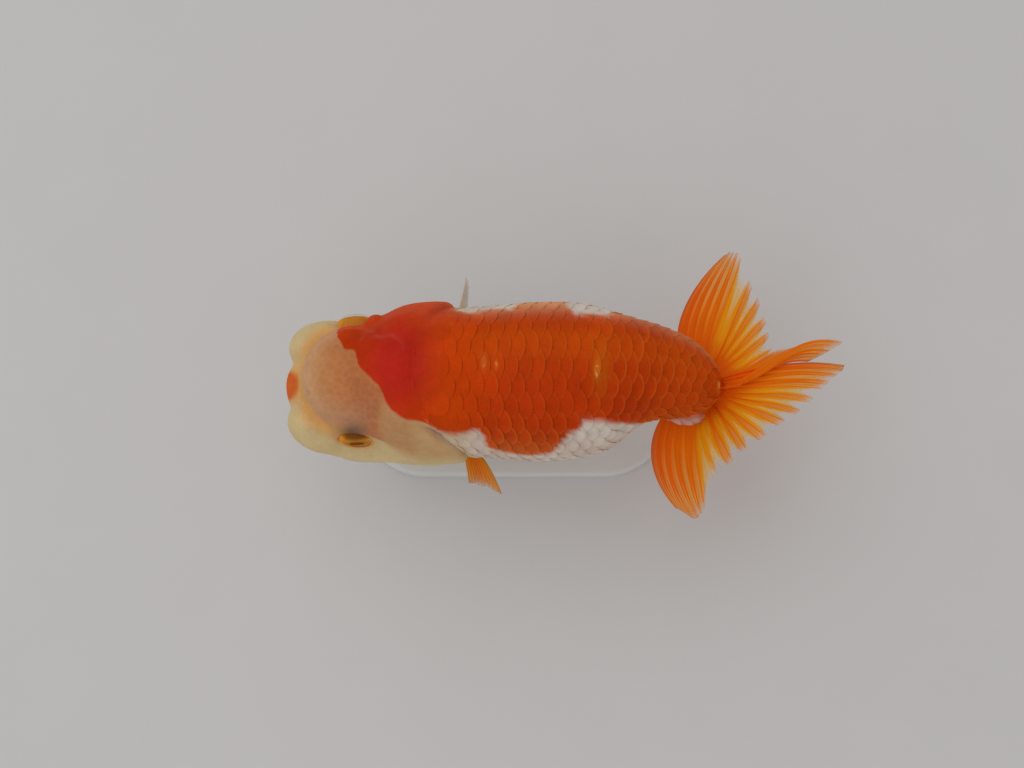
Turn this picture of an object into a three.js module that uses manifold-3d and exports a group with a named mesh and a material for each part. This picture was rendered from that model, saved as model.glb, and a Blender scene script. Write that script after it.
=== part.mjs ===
// A ranchu goldfish at life size, swimming level on a small display stand.
// Millimetres, +Z up. The head points along -X and the fish's left side faces -Y.
// The origin is at the middle of the underside of the stand's base.

import * as THREE from "three";
import { mergeVertices } from "three/addons/utils/BufferGeometryUtils.js";
import Module from "manifold-3d";

const wasm = await Module();
wasm.setup();

// ---- Driving dimensions ----

const bodyMiddle = 48; // height of the middle of the body over the table
const gap = 0.3; // clearance between neighbouring pieces
const finThickness = 0.6;

// Body sections from the muzzle to the root of the tail. Heights count from the body's middle.
const stations = [
  { x: -52, halfWidth: 12, shift: 0, top: 6, bottom: -15 },
  { x: -40, halfWidth: 16.6, shift: 0, top: 12.5, bottom: -18.5 },
  { x: -26, halfWidth: 18, shift: 0, top: 19, bottom: -21.5 },
  { x: -8, halfWidth: 18.7, shift: 0, top: 23.6, bottom: -25 },
  { x: 8, halfWidth: 19.7, shift: 0, top: 25, bottom: -26 },
  { x: 22, halfWidth: 18.2, shift: 0.8, top: 23, bottom: -23.5 },
  { x: 33, halfWidth: 13, shift: 2.1, top: 18, bottom: -16.5 },
  { x: 44, halfWidth: 10.2, shift: 1, top: 11.5, bottom: -12 },
  { x: 52, halfWidth: 9, shift: -0.5, top: 5, bottom: -9 },
];
const sectionPower = 2.2; // 2 is an ellipse, more is fuller
const thinnest = 0.05; // keeps a section from vanishing at the two ends
const muzzle = { x: -55, rounding: 9 };
const tailEnd = { x: 52, rounding: 11, uprightPower: 3.2 }; // rounder from above than from the side

// Swellings that blend into the body. Those with a side are made on both flanks.
const lobes = {
  crown: { at: [-40, 0, 7.5], radii: [12.6, 12.2, 11.6], blend: 1.4 },
  nape: { at: [-27.5, 0, 11], radii: [11, 14, 10], blend: 3 },
  lips: { at: [-53.4, 0, -4.6], radii: [3.9, 4.3, 4], blend: 1 },
  cheek: { at: [-47, 9.3, -5], radii: [10.2, 7.2, 9.6], blend: 1.6, paired: true },
  jowl: { at: [-37, 9.5, -9.5], radii: [12, 8.6, 10], blend: 2.4, paired: true },
  gill: { at: [-26, 9.2, -4], radii: [15, 9.3, 14], blend: 4, paired: true },
};

// The gill covers are oval plates that stand proud of the flank along their rear edge.
const gillPlate = {
  left: { x: -28, z: -2, halfLength: 16, halfHeight: 17 },
  right: { x: -31, z: -1, halfLength: 15.8, halfHeight: 18.5 },
  lift: 1.5,
  softness: 1.1,
  depth: 2.6,
  frontX: -33,
  fadeFrom: -42,
  fadeLength: 18,
  innerY: 6,
  innerFade: 4,
};

const eye = { x: -39.7, y: 11.9, z: 1.6, radius: 5.1, socket: 6.4, recess: 3 };

// The body is parted into head, trunk and tail stalk by two planes across it.
const neckX = -17;
const stalkX = 33;
const pieceMargin = 0.3; // how far the cut round a swelling lies outside it

// Rays from this inner line find the surface, fanning out round both of its ends.
const innerLine = { from: -37, to: 42, frontZ: -2, backZ: -1 };

// How finely each kind of surface is faceted.
const facets = {
  ringsFront: 9,
  ringsMiddle: 16,
  ringsBack: 6,
  sides: 26,
  lobe: [12, 8],
  eye: [14, 9],
  gillPlate: 24,
  tailLobe: [7, 6],
  pairedFin: [4, 4],
  rod: 16,
  baseEnd: 10,
};

// The tail fan's rays leave a hub in the tail root. Each key ray has its share of the lobe,
// its heading at the tip and the turn from root to tip in degrees, its reach from the hub,
// the height of its tip, and its sideways bow in degrees.
const tailHub = { x: 48, y: 0 };
const tailRoot = { radius: 5, middleZ: 1, middleHeading: 10, sideZ: -8, sideTurn: 70 };
const tailLobes = {
  tail_fin_right_lower: [
    { share: 0, heading: 79.5, turn: 48, reach: 35.6, tipZ: -12.5, bow: 0 },
    { share: 0.25, heading: 74, turn: 36, reach: 36.4, tipZ: -11, bow: 0 },
    { share: 0.5, heading: 62, turn: 18, reach: 29, tipZ: -8, bow: 0 },
    { share: 0.75, heading: 45, turn: 5, reach: 22.3, tipZ: -5, bow: 0 },
    { share: 1, heading: 28, turn: -8, reach: 19, tipZ: -2, bow: 0 },
  ],
  tail_fin_right_upper: [
    { share: 0, heading: 25, turn: -20, reach: 19, tipZ: -1.5, bow: 2 },
    { share: 0.3, heading: 19.5, turn: -26, reach: 23, tipZ: 6, bow: 8 },
    { share: 0.6, heading: 12.4, turn: -28, reach: 33, tipZ: 13, bow: 16 },
    { share: 0.8, heading: 10.5, turn: -26, reach: 29.5, tipZ: 11, bow: 14 },
    { share: 1, heading: 8.8, turn: -24, reach: 24.5, tipZ: 8, bow: 11 },
  ],
  tail_fin_left_upper: [
    { share: 0, heading: 4, turn: -22, reach: 32.8, tipZ: 10, bow: 12 },
    { share: 0.25, heading: -4, turn: -18, reach: 28, tipZ: 7, bow: 10 },
    { share: 0.5, heading: -16, turn: -10, reach: 25, tipZ: 3.5, bow: 4 },
    { share: 0.75, heading: -37, turn: -4, reach: 21.5, tipZ: -1, bow: 0 },
    { share: 1, heading: -59, turn: 0, reach: 19, tipZ: -4, bow: 0 },
  ],
  tail_fin_left_lower: [
    { share: 0, heading: -61, turn: 0, reach: 19, tipZ: -4.2, bow: 0 },
    { share: 0.25, heading: -76, turn: -14, reach: 22, tipZ: -7, bow: 0 },
    { share: 0.5, heading: -84, turn: -30, reach: 26, tipZ: -9, bow: 0 },
    { share: 0.75, heading: -89.5, turn: -48, reach: 32.2, tipZ: -11, bow: -2 },
    { share: 1, heading: -96.5, turn: -66, reach: 32, tipZ: -12.5, bow: -5 },
  ],
};

// The paired fins, given by the ends of the root and three points of the outer edge.
const pairedFins = {
  pectoral_fin_left: {
    root: [[-15, -15, -11], [-9.5, -16.5, -13]],
    edge: [[-11.6, -22.3, -22], [-8, -23.3, -24], [-4, -24.3, -21]],
    cup: 1.2,
  },
  pectoral_fin_right: {
    root: [[-16, 14, -10], [-13.5, 14, -15]],
    edge: [[-12.5, 29, -9], [-12, 28.5, -16], [-12.5, 23, -21]],
    cup: -1,
  },
  pelvic_fin_left: {
    root: [[0, -8, -22], [4.5, -6.5, -22.5]],
    edge: [[9, -15, -30], [15, -13, -31], [15.5, -8, -28]],
    cup: 0.8,
  },
  pelvic_fin_right: {
    root: [[0, 8, -22], [4.5, 6.5, -22.5]],
    edge: [[9, 15, -30], [15, 13, -31], [15.5, 8, -28]],
    cup: -0.8,
  },
  anal_fin_left: {
    root: [[34, -2.6, -13.5], [38.5, -2.4, -12.5]],
    edge: [[41, -6.5, -24], [46, -6.5, -24], [47.5, -5.5, -19.5]],
    cup: 0.4,
  },
  anal_fin_right: {
    root: [[34, 5, -13.5], [38.5, 4.6, -12.5]],
    edge: [[41, 8.5, -24], [46, 8.5, -24], [47.5, 7.5, -19.5]],
    cup: -0.4,
  },
};

const base = { length: 84, width: 36, height: 5 };
const rods = { radius: 1.5, intoBody: 4, frontX: -14, backX: 16 };

// ---- Small helpers ----

const radians = THREE.MathUtils.degToRad;
const clamp = THREE.MathUtils.clamp;

// Smooth curve through a few values: cubic pieces with the chord of the two neighbours as slope.
function through(xs, ys, x) {
  const last = xs.length - 1;
  const at = clamp(x, xs[0], xs[last]);
  let i = 0;
  while (i < last - 1 && at > xs[i + 1]) i += 1;
  const slope = (k) => {
    const before = Math.max(k - 1, 0);
    const after = Math.min(k + 1, last);
    return (ys[after] - ys[before]) / (xs[after] - xs[before]);
  };
  const step = xs[i + 1] - xs[i];
  const t = (at - xs[i]) / step;
  const rise = t * t * (3 - 2 * t);
  const start = t * (1 - t) * (1 - t) * step * slope(i);
  const finish = t * t * (t - 1) * step * slope(i + 1);
  return ys[i] + (ys[i + 1] - ys[i]) * rise + start + finish;
}

function keyed(keys, along, name, x) {
  return through(keys.map((k) => k[along]), keys.map((k) => k[name]), x);
}

// Smooth minimum of two distances, rounding the crease over the blend width.
function blended(a, b, width) {
  const overlap = Math.max(width - Math.abs(a - b), 0);
  return Math.min(a, b) - (overlap * overlap) / (4 * width);
}

// ---- The body's surface ----

// Distance outside the cross section at x, from its half width and height and its fullness.
function coreDistance(x, y, z) {
  const front = clamp((muzzle.x + muzzle.rounding - x) / muzzle.rounding, 0, 1);
  const back = clamp((x - tailEnd.x + tailEnd.rounding) / tailEnd.rounding, 0, 1);
  const nose = Math.sqrt(1 - front * front);
  const tailAcross = Math.sqrt(1 - back * back);
  const tailUpright = (1 - back ** tailEnd.uprightPower) ** (1 / tailEnd.uprightPower);
  const top = keyed(stations, "x", "top", x);
  const bottom = keyed(stations, "x", "bottom", x);
  const halfWidth = Math.max(keyed(stations, "x", "halfWidth", x) * nose * tailAcross, thinnest);
  const halfHeight = Math.max(((top - bottom) / 2) * nose * tailUpright, thinnest);
  const across = Math.abs(y - keyed(stations, "x", "shift", x)) / halfWidth;
  const up = Math.abs(z - (top + bottom) / 2) / halfHeight;
  const ratio = (across ** sectionPower + up ** sectionPower) ** (1 / sectionPower);
  const aside = (ratio - 1) * Math.min(halfWidth, halfHeight);
  return Math.max(aside, muzzle.x - x, x - tailEnd.x);
}

// Near enough the distance from an ellipsoid, from its scaled radius and that radius's slope.
function lobeDistance({ at, radii }, x, y, z) {
  const scaled = new THREE.Vector3((x - at[0]) / radii[0], (y - at[1]) / radii[1], (z - at[2]) / radii[2]);
  const radius = Math.max(scaled.length(), 1e-6);
  scaled.set(scaled.x / radii[0], scaled.y / radii[1], scaled.z / radii[2]);
  return (radius * (radius - 1)) / Math.max(scaled.length(), 1e-6);
}

// How far the gill plate stands proud: a full oval plate that stops short at its edge.
function gillLift(x, y, z) {
  const plate = y < 0 ? gillPlate.left : gillPlate.right;
  const out = Math.hypot((x - plate.x) / plate.halfLength, (z - plate.z) / plate.halfHeight);
  const inside = (1 - out) * plate.halfLength;
  const edge = clamp(inside / gillPlate.softness, 0, 1);
  const fadeForward = clamp((x - gillPlate.fadeFrom) / gillPlate.fadeLength, 0, 1);
  const fadeInward = clamp((Math.abs(y) - gillPlate.innerY) / gillPlate.innerFade, 0, 1);
  return gillPlate.lift * edge * fadeForward * fadeInward;
}

function eyeRecess(x, y, z) {
  const away = Math.hypot(x - eye.x, Math.abs(y) - eye.y - eye.radius / 2, z - eye.z);
  return eye.recess * Math.exp(-((away / eye.socket) ** 4));
}

function bodyDistance(x, y, z) {
  let distance = coreDistance(x, y, z);
  for (const lobe of Object.values(lobes)) {
    const side = lobe.paired ? Math.abs(y) : y;
    distance = blended(distance, lobeDistance(lobe, x, side, z), lobe.blend);
  }
  return distance - gillLift(x, y, z) + eyeRecess(x, y, z);
}

// The first point along a ray where the body, grown by the given amount, ends.
function surfacePoint(origin, direction, grow) {
  const at = (r) => origin.clone().addScaledVector(direction, r);
  const outside = (r) => {
    const p = at(r);
    return bodyDistance(p.x, p.y, p.z) > grow;
  };
  const stride = 0.5;
  const halvings = 16;
  let beyond = 2;
  while (!outside(beyond)) beyond += stride;
  let within = beyond - stride;
  for (let i = 0; i < halvings; i += 1) {
    const middle = (within + beyond) / 2;
    if (outside(middle)) beyond = middle;
    else within = middle;
  }
  return at(within);
}

// One ray origin and lean for each ring, from the muzzle round to the end of the tail root.
function rings() {
  const { ringsFront, ringsMiddle, ringsBack } = facets;
  const list = [];
  for (let i = 1; i <= ringsFront; i += 1) list.push({ run: 0, lean: (i / ringsFront) * 90 });
  for (let i = 1; i < ringsMiddle; i += 1) list.push({ run: i / ringsMiddle, lean: 90 });
  for (let i = 0; i < ringsBack; i += 1) list.push({ run: 1, lean: 90 + (i / ringsBack) * 90 });
  return list;
}

// A closed mesh of the whole body, grown or shrunk by an amount, with a pole at each end.
function bodyGeometry(grow) {
  const { sides } = facets;
  const points = [];
  const ringList = rings();
  const cast = (run, lean, turn) => {
    const origin = new THREE.Vector3(
      THREE.MathUtils.lerp(innerLine.from, innerLine.to, run),
      0,
      THREE.MathUtils.lerp(innerLine.frontZ, innerLine.backZ, run),
    );
    const out = Math.sin(radians(lean));
    const direction = new THREE.Vector3(
      -Math.cos(radians(lean)),
      out * Math.cos(turn),
      out * Math.sin(turn),
    );
    points.push(...surfacePoint(origin, direction, grow));
  };
  for (const { run, lean } of ringList) {
    for (let j = 0; j < sides; j += 1) cast(run, lean, (j / sides) * 2 * Math.PI);
  }
  cast(0, 0, 0);
  cast(1, 180, 0);
  const frontPole = ringList.length * sides;
  const faces = [];
  for (let j = 0; j < sides; j += 1) {
    const next = (j + 1) % sides;
    faces.push(frontPole, next, j);
    for (let i = 0; i < ringList.length - 1; i += 1) {
      const a = i * sides + j;
      const b = i * sides + next;
      faces.push(a, b, a + sides, b, b + sides, a + sides);
    }
    const lastRing = (ringList.length - 1) * sides;
    faces.push(lastRing + j, lastRing + next, frontPole + 1);
  }
  const geometry = new THREE.BufferGeometry();
  geometry.setAttribute("position", new THREE.Float32BufferAttribute(points, 3));
  geometry.setIndex(faces);
  return geometry;
}

// ---- Solids ----

function toSolid(geometry) {
  const bare = geometry.clone();
  bare.deleteAttribute("normal");
  bare.deleteAttribute("uv");
  const merged = mergeVertices(bare, 1e-4);
  return new wasm.Manifold(
    new wasm.Mesh({
      numProp: 3,
      vertProperties: new Float32Array(merged.attributes.position.array),
      triVerts: new Uint32Array(merged.index.array),
    }),
  );
}

function toGeometry(solid) {
  const { vertProperties, triVerts } = solid.getMesh();
  const geometry = new THREE.BufferGeometry();
  geometry.setAttribute("position", new THREE.BufferAttribute(vertProperties, 3));
  geometry.setIndex(new THREE.BufferAttribute(triVerts, 1));
  return geometry;
}

// Cutting can leave crumbs along a crease, so only the main body of a piece is kept.
function largest(solid) {
  const bodies = solid.decompose();
  return bodies.reduce((a, b) => (b.volume() > a.volume() ? b : a));
}

function boxBetween(from, to) {
  const size = new THREE.Vector3().subVectors(to, from);
  const geometry = new THREE.BoxGeometry(size.x, size.y, size.z);
  const middle = new THREE.Vector3().addVectors(from, to).multiplyScalar(0.5);
  return toSolid(geometry.translate(middle.x, middle.y, middle.z));
}

function ellipsoid({ at, radii }, side, grow) {
  const geometry = new THREE.SphereGeometry(1, ...facets.lobe);
  geometry.scale(radii[0] + grow, radii[1] + grow, radii[2] + grow);
  return toSolid(geometry.translate(at[0], at[1] * side, at[2]));
}

function ball(side, grow) {
  const geometry = new THREE.SphereGeometry(eye.radius + grow, ...facets.eye);
  return toSolid(geometry.translate(eye.x, eye.y * side, eye.z));
}

// The oval outline of a gill plate, carried sideways out of the head.
function gillCutter(side, grow) {
  const reach = 24;
  const plate = side < 0 ? gillPlate.left : gillPlate.right;
  const geometry = new THREE.CylinderGeometry(1, 1, reach, facets.gillPlate);
  geometry.scale(plate.halfLength + grow, 1, plate.halfHeight + grow);
  return toSolid(geometry.translate(plate.x, side * (gillPlate.innerY + reach / 2), plate.z));
}

// ---- Fins ----

// A closed sheet: both faces of a surface of two shares, with a rim all round.
function sheetGeometry(surface, [columns, rows], thickness) {
  const step = 0.01;
  const points = [[], []];
  for (let i = 0; i <= columns; i += 1) {
    for (let j = 0; j <= rows; j += 1) {
      const s = i / columns;
      const t = j / rows;
      const alongS = surface(Math.min(s + step, 1), t).sub(surface(Math.max(s - step, 0), t));
      const alongT = surface(s, Math.min(t + step, 1)).sub(surface(s, Math.max(t - step, 0)));
      const normal = alongS.cross(alongT).normalize().multiplyScalar(thickness / 2);
      const middle = surface(s, t);
      points[0].push(...middle.clone().add(normal));
      points[1].push(...middle.sub(normal));
    }
  }
  const other = (columns + 1) * (rows + 1);
  const at = (i, j) => i * (rows + 1) + j;
  const faces = [];
  const quad = (a, b, c, d) => faces.push(a, b, c, a, c, d);
  for (let i = 0; i < columns; i += 1) {
    for (let j = 0; j < rows; j += 1) {
      quad(at(i, j), at(i + 1, j), at(i + 1, j + 1), at(i, j + 1));
      quad(at(i, j) + other, at(i, j + 1) + other, at(i + 1, j + 1) + other, at(i + 1, j) + other);
    }
    quad(at(i, 0), at(i, 0) + other, at(i + 1, 0) + other, at(i + 1, 0));
    quad(at(i, rows), at(i + 1, rows), at(i + 1, rows) + other, at(i, rows) + other);
  }
  for (let j = 0; j < rows; j += 1) {
    quad(at(0, j), at(0, j + 1), at(0, j + 1) + other, at(0, j) + other);
    quad(at(columns, j), at(columns, j) + other, at(columns, j + 1) + other, at(columns, j + 1));
  }
  const geometry = new THREE.BufferGeometry();
  geometry.setAttribute("position", new THREE.Float32BufferAttribute(points.flat(), 3));
  geometry.setIndex(faces);
  return geometry;
}

// A tail lobe: rays wind out from the hub, turning and bowing on their way to the tip.
function tailSurface(keys) {
  return (s, t) => {
    const value = (name) => keyed(keys, "share", name, s);
    const heading = value("heading") + value("turn") * (1 - t) + value("bow") * Math.sin(Math.PI * t);
    const reach = THREE.MathUtils.lerp(tailRoot.radius, value("reach"), t);
    const turned = Math.abs(value("heading") - tailRoot.middleHeading) / tailRoot.sideTurn;
    const rootZ = THREE.MathUtils.lerp(tailRoot.middleZ, tailRoot.sideZ, Math.min(turned, 1));
    return new THREE.Vector3(
      tailHub.x + reach * Math.cos(radians(heading)),
      tailHub.y + reach * Math.sin(radians(heading)),
      THREE.MathUtils.lerp(rootZ, value("tipZ"), Math.sin((t * Math.PI) / 2)),
    );
  };
}

// A paired fin: straight rays from the root line to a curved edge, cupped along their length.
function finSurface({ root, edge, cup }) {
  const [rootFront, rootBack] = root.map((p) => new THREE.Vector3(...p));
  const outer = new THREE.CatmullRomCurve3(edge.map((p) => new THREE.Vector3(...p)));
  return (s, t) => {
    const start = rootFront.clone().lerp(rootBack, s);
    const point = start.lerp(outer.getPoint(s), t);
    point.y += cup * 4 * t * (1 - t);
    return point;
  };
}

// ---- The parts of the fish ----

const skin = { color: 0xd8501c, roughness: 0.4, metalness: 0 };
const cream = { color: 0xe8d0a0, roughness: 0.45, metalness: 0 };
const finOrange = { color: 0xe8862c, roughness: 0.5, metalness: 0 };
const finWhite = { color: 0xe9e4dc, roughness: 0.5, metalness: 0 };
const lipRed = { color: 0xd85a34, roughness: 0.4, metalness: 0 };
const iris = { color: 0xc88420, roughness: 0.15, metalness: 0.1 };
const whiteLacquer = { color: 0xdcdcd8, roughness: 0.5, metalness: 0 };
const steel = { color: 0xb4b6b8, roughness: 0.3, metalness: 1 };

const fish = new THREE.Group();
fish.position.z = bodyMiddle;
const group = new THREE.Group();
group.add(fish);

function place(parent, name, solid, look) {
  const mesh = new THREE.Mesh(toGeometry(largest(solid)), new THREE.MeshStandardMaterial(look));
  mesh.name = name;
  parent.add(mesh);
}

const allRound = 100; // further than any part of the fish
const whole = toSolid(bodyGeometry(0));
const grown = toSolid(bodyGeometry(gap));
const underPlates = toSolid(bodyGeometry(-gillPlate.depth));
const underGap = toSolid(bodyGeometry(-gillPlate.depth - gap));
const flanks = [
  { word: "left", sign: -1 },
  { word: "right", sign: 1 },
];

// All of space between two planes square to an axis.
function slab(axis, from, to) {
  const low = new THREE.Vector3(-allRound, -allRound, -allRound);
  const high = new THREE.Vector3(allRound, allRound, allRound);
  low[axis] = from;
  high[axis] = to;
  return boxBetween(low, high);
}

// A rod from the base up into the belly. Its own hole in the trunk is the same rod, grown.
function rodSolid(x, grow) {
  const belly = surfacePoint(new THREE.Vector3(x, 0, 0), new THREE.Vector3(0, 0, -1), 0);
  const top = belly.z + rods.intoBody;
  const bottom = base.height - bodyMiddle + gap;
  const height = top - bottom + grow;
  const radius = rods.radius + grow;
  const geometry = new THREE.CylinderGeometry(radius, radius, height, facets.rod);
  geometry.rotateX(Math.PI / 2);
  return toSolid(geometry.translate(x, 0, bottom + height / 2));
}

// The space that a gill cover takes out of the head and trunk, with its clearance.
function gillRoom(side) {
  return gillCutter(side, gap).subtract(underGap).intersect(slab("x", gillPlate.frontX - gap, allRound));
}

// Each swelling is carved off the head in turn, with its clearance, and the rest is the head.
function buildHead() {
  let rest = whole.intersect(slab("x", -allRound, neckX - gap / 2));
  for (const { sign } of flanks) rest = rest.subtract(ball(sign, gap));
  const carve = (lobe, side) => {
    const piece = rest.intersect(ellipsoid(lobe, side, pieceMargin));
    rest = rest.subtract(ellipsoid(lobe, side, pieceMargin + gap));
    return piece;
  };
  const mouth = carve(lobes.lips, 1);
  const lipLine = lobes.lips.at[2];
  place(fish, "lip_upper", mouth.intersect(slab("z", lipLine + gap / 2, allRound)), lipRed);
  place(fish, "lip_lower", mouth.intersect(slab("z", -allRound, lipLine - gap / 2)), lipRed);
  place(fish, "wen_crown", carve(lobes.crown, 1), cream);
  for (const { word, sign } of flanks) {
    place(fish, `wen_cheek_${word}`, carve(lobes.cheek, sign), cream);
  }
  for (const { word, sign } of flanks) {
    const shell = whole.subtract(underPlates).intersect(gillCutter(sign, 0));
    const plate = shell.intersect(slab("x", gillPlate.frontX, allRound));
    rest = rest.subtract(gillRoom(sign));
    place(fish, `gill_cover_${word}`, plate, sign > 0 ? skin : cream);
  }
  place(fish, "head", rest, cream);
}

function buildTrunk() {
  let trunk = whole.intersect(slab("x", neckX + gap / 2, stalkX - gap / 2));
  for (const { sign } of flanks) trunk = trunk.subtract(gillRoom(sign));
  for (const x of [rods.frontX, rods.backX]) trunk = trunk.subtract(rodSolid(x, gap));
  place(fish, "trunk", trunk, skin);
  place(fish, "tail_stalk", whole.intersect(slab("x", stalkX + gap / 2, allRound)), skin);
}

function buildEyes() {
  for (const { word, sign } of flanks) place(fish, `eye_${word}`, ball(sign, 0), iris);
}

// Each lobe is trimmed off the body, and off the lobes before it, with clearance.
function buildTail() {
  const thicker = finThickness + 2 * gap;
  const laid = [];
  for (const [name, keys] of Object.entries(tailLobes)) {
    const sheet = (thickness) => toSolid(sheetGeometry(tailSurface(keys), facets.tailLobe, thickness));
    let lobe = sheet(finThickness).subtract(grown);
    for (const before of laid) lobe = lobe.subtract(before);
    laid.push(sheet(thicker));
    place(fish, name, lobe, finOrange);
  }
}

function buildPairedFins() {
  for (const [name, shape] of Object.entries(pairedFins)) {
    const sheet = toSolid(sheetGeometry(finSurface(shape), facets.pairedFin, finThickness));
    place(fish, name, sheet.subtract(grown), name === "pectoral_fin_left" ? finOrange : finWhite);
  }
}

// A flat bar with round ends, and a rod towards each end of the belly.
function buildStand() {
  const radius = base.width / 2;
  const straight = base.length / 2 - radius;
  const outline = new THREE.Shape();
  outline.absarc(straight, 0, radius, -Math.PI / 2, Math.PI / 2);
  outline.absarc(-straight, 0, radius, Math.PI / 2, (3 * Math.PI) / 2);
  const plate = new THREE.ExtrudeGeometry(outline, {
    depth: base.height,
    bevelEnabled: false,
    curveSegments: facets.baseEnd,
  });
  place(group, "stand_base", toSolid(plate), whiteLacquer);
  place(fish, "stand_rod_front", rodSolid(rods.frontX, 0), steel);
  place(fish, "stand_rod_back", rodSolid(rods.backX, 0), steel);
}

buildHead();
buildTrunk();
buildEyes();
buildTail();
buildPairedFins();
buildStand();

export default group;
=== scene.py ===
import bpy
import numpy as np
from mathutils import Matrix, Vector


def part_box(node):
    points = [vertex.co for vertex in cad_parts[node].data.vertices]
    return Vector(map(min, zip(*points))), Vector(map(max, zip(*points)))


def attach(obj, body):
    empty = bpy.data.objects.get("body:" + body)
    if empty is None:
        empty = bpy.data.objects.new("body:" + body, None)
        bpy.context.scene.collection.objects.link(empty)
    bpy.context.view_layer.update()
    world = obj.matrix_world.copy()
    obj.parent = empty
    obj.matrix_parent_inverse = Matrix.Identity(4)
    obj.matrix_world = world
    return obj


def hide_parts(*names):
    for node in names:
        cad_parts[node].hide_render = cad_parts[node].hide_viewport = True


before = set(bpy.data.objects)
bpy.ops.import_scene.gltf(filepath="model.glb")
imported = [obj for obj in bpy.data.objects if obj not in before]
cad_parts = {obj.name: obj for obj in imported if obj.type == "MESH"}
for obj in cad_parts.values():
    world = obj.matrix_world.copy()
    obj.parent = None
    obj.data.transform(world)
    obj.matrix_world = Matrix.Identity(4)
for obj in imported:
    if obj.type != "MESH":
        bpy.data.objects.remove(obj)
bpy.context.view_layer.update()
print("frame:", len(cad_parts), "parts")

mm = 0.001  # every size below is in millimetres, and meshes are made in metres


def boxOf(node):
    low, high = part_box(node)
    return np.array(low) / mm, np.array(high) / mm


# curves and fields

def clamp01(t):
    return np.clip(t, 0.0, 1.0)


def smooth(low, high, value):
    # 0 below low, 1 above high, 3t^2 - 2t^3 between
    t = clamp01((value - low) / (high - low))
    return t * t * (3 - 2 * t)


def lerp(a, b, t):
    return a + (b - a) * t


def bump(value, middle, width):
    # a bell of height 1 at the middle
    return np.exp(-((value - middle) / width) ** 2)


def blended(a, b, width):
    # the smaller of two distances, with the crease rounded over the blend width
    overlap = np.maximum(width - np.abs(a - b), 0)
    return np.minimum(a, b) - overlap ** 2 / (4 * width)


def through(xs, ys, at):
    # smooth curve through a few values: cubic pieces whose slopes are the chords of both neighbours
    xs, ys = np.asarray(xs, float), np.asarray(ys, float)
    at = np.clip(at, xs[0], xs[-1])
    last = len(xs) - 1
    before, after = np.maximum(np.arange(last + 1) - 1, 0), np.minimum(np.arange(last + 1) + 1, last)
    slopes = (ys[after] - ys[before]) / (xs[after] - xs[before])
    i = np.clip(np.searchsorted(xs, at, side="right") - 1, 0, last - 1)
    step = xs[i + 1] - xs[i]
    t = (at - xs[i]) / step
    start = t * (1 - t) ** 2 * step * slopes[i]
    finish = t * t * (t - 1) * step * slopes[i + 1]
    return ys[i] + (ys[i + 1] - ys[i]) * (t * t * (3 - 2 * t)) + start + finish


def waves(x, y, z, scale, seed, turns=5):
    # soft repeatable noise from -1 to 1: a mean of sines along seeded directions
    draw = np.random.default_rng(seed)
    total = 0.0
    for _ in range(turns):
        direction = draw.normal(size=3)
        direction /= np.linalg.norm(direction)
        phase, stretch = draw.uniform(0, 2 * np.pi), draw.uniform(0.7, 1.5)
        along = x * direction[0] + y * direction[1] + z * direction[2]
        total = total + np.sin(along * stretch / scale + phase)
    return total / turns


def onSide(y, left, right):
    return np.where(y < 0, left, right)


# meshes from grids of points

def addMesh(name, points, faces, bakeMap=None, colours=None, values=None, sharpAngle=None):
    # points in millimetres; faces is a list of arrays, one array for each number of corners; the map has one
    # pair for each corner of each face, in the faces' order; colours and values have one for each point
    mesh = bpy.data.meshes.new(name)
    corners = np.concatenate([f.ravel() for f in faces]).astype(np.int32)
    counts = np.concatenate([np.full(len(f), f.shape[1]) for f in faces]).astype(np.int32)
    mesh.vertices.add(len(points))
    mesh.vertices.foreach_set("co", (points * mm).astype(np.float32).ravel())
    mesh.loops.add(len(corners))
    mesh.loops.foreach_set("vertex_index", corners)
    mesh.polygons.add(len(counts))
    mesh.polygons.foreach_set("loop_start", np.concatenate([[0], np.cumsum(counts)[:-1]]).astype(np.int32))
    mesh.polygons.foreach_set("loop_total", counts)
    mesh.update(calc_edges=True)
    mesh.polygons.foreach_set("use_smooth", np.ones(len(counts), bool))
    if sharpAngle:
        mesh.set_sharp_from_angle(angle=np.radians(sharpAngle))
    if bakeMap is not None:
        layer = mesh.uv_layers.new(name="OFBake")
        layer.data.foreach_set("uv", bakeMap.astype(np.float32).ravel())
    for colourName, rgb in (colours or {}).items():
        layer = mesh.color_attributes.new(colourName, "FLOAT_COLOR", "POINT")
        rgba = np.concatenate([rgb, np.ones((len(rgb), 1))], axis=1)
        layer.data.foreach_set("color", rgba.astype(np.float32).ravel())
    for valueName, number in (values or {}).items():
        layer = mesh.attributes.new(valueName, "FLOAT", "POINT")
        layer.data.foreach_set("value", np.asarray(number, np.float32).ravel())
    piece = bpy.data.objects.new(name, mesh)
    bpy.context.scene.collection.objects.link(piece)
    return piece


def finishPiece(piece, material, slot, *nodes):
    # every piece of the model rides on the one body; nodes are the parts of the frame it stands for
    piece.data.materials.append(material)
    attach(piece, "root")
    if nodes:
        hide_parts(*nodes)


def gridQuads(rows, columns, closed=False):
    # four corners of each cell of a grid of points; closed joins the last column to the first
    i, j = np.meshgrid(np.arange(rows - 1), np.arange(columns if closed else columns - 1), indexing="ij")
    here, beside = i * columns + j, i * columns + (j + 1) % columns
    return np.stack([here, beside, beside + columns, here + columns], -1).reshape(-1, 4)


def gridBorder(index):
    # the numbers round the border of a table of point numbers, in order
    return np.concatenate([index[0, :-1], index[:-1, -1], index[-1, :0:-1], index[:0:-1, 0]])


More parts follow.
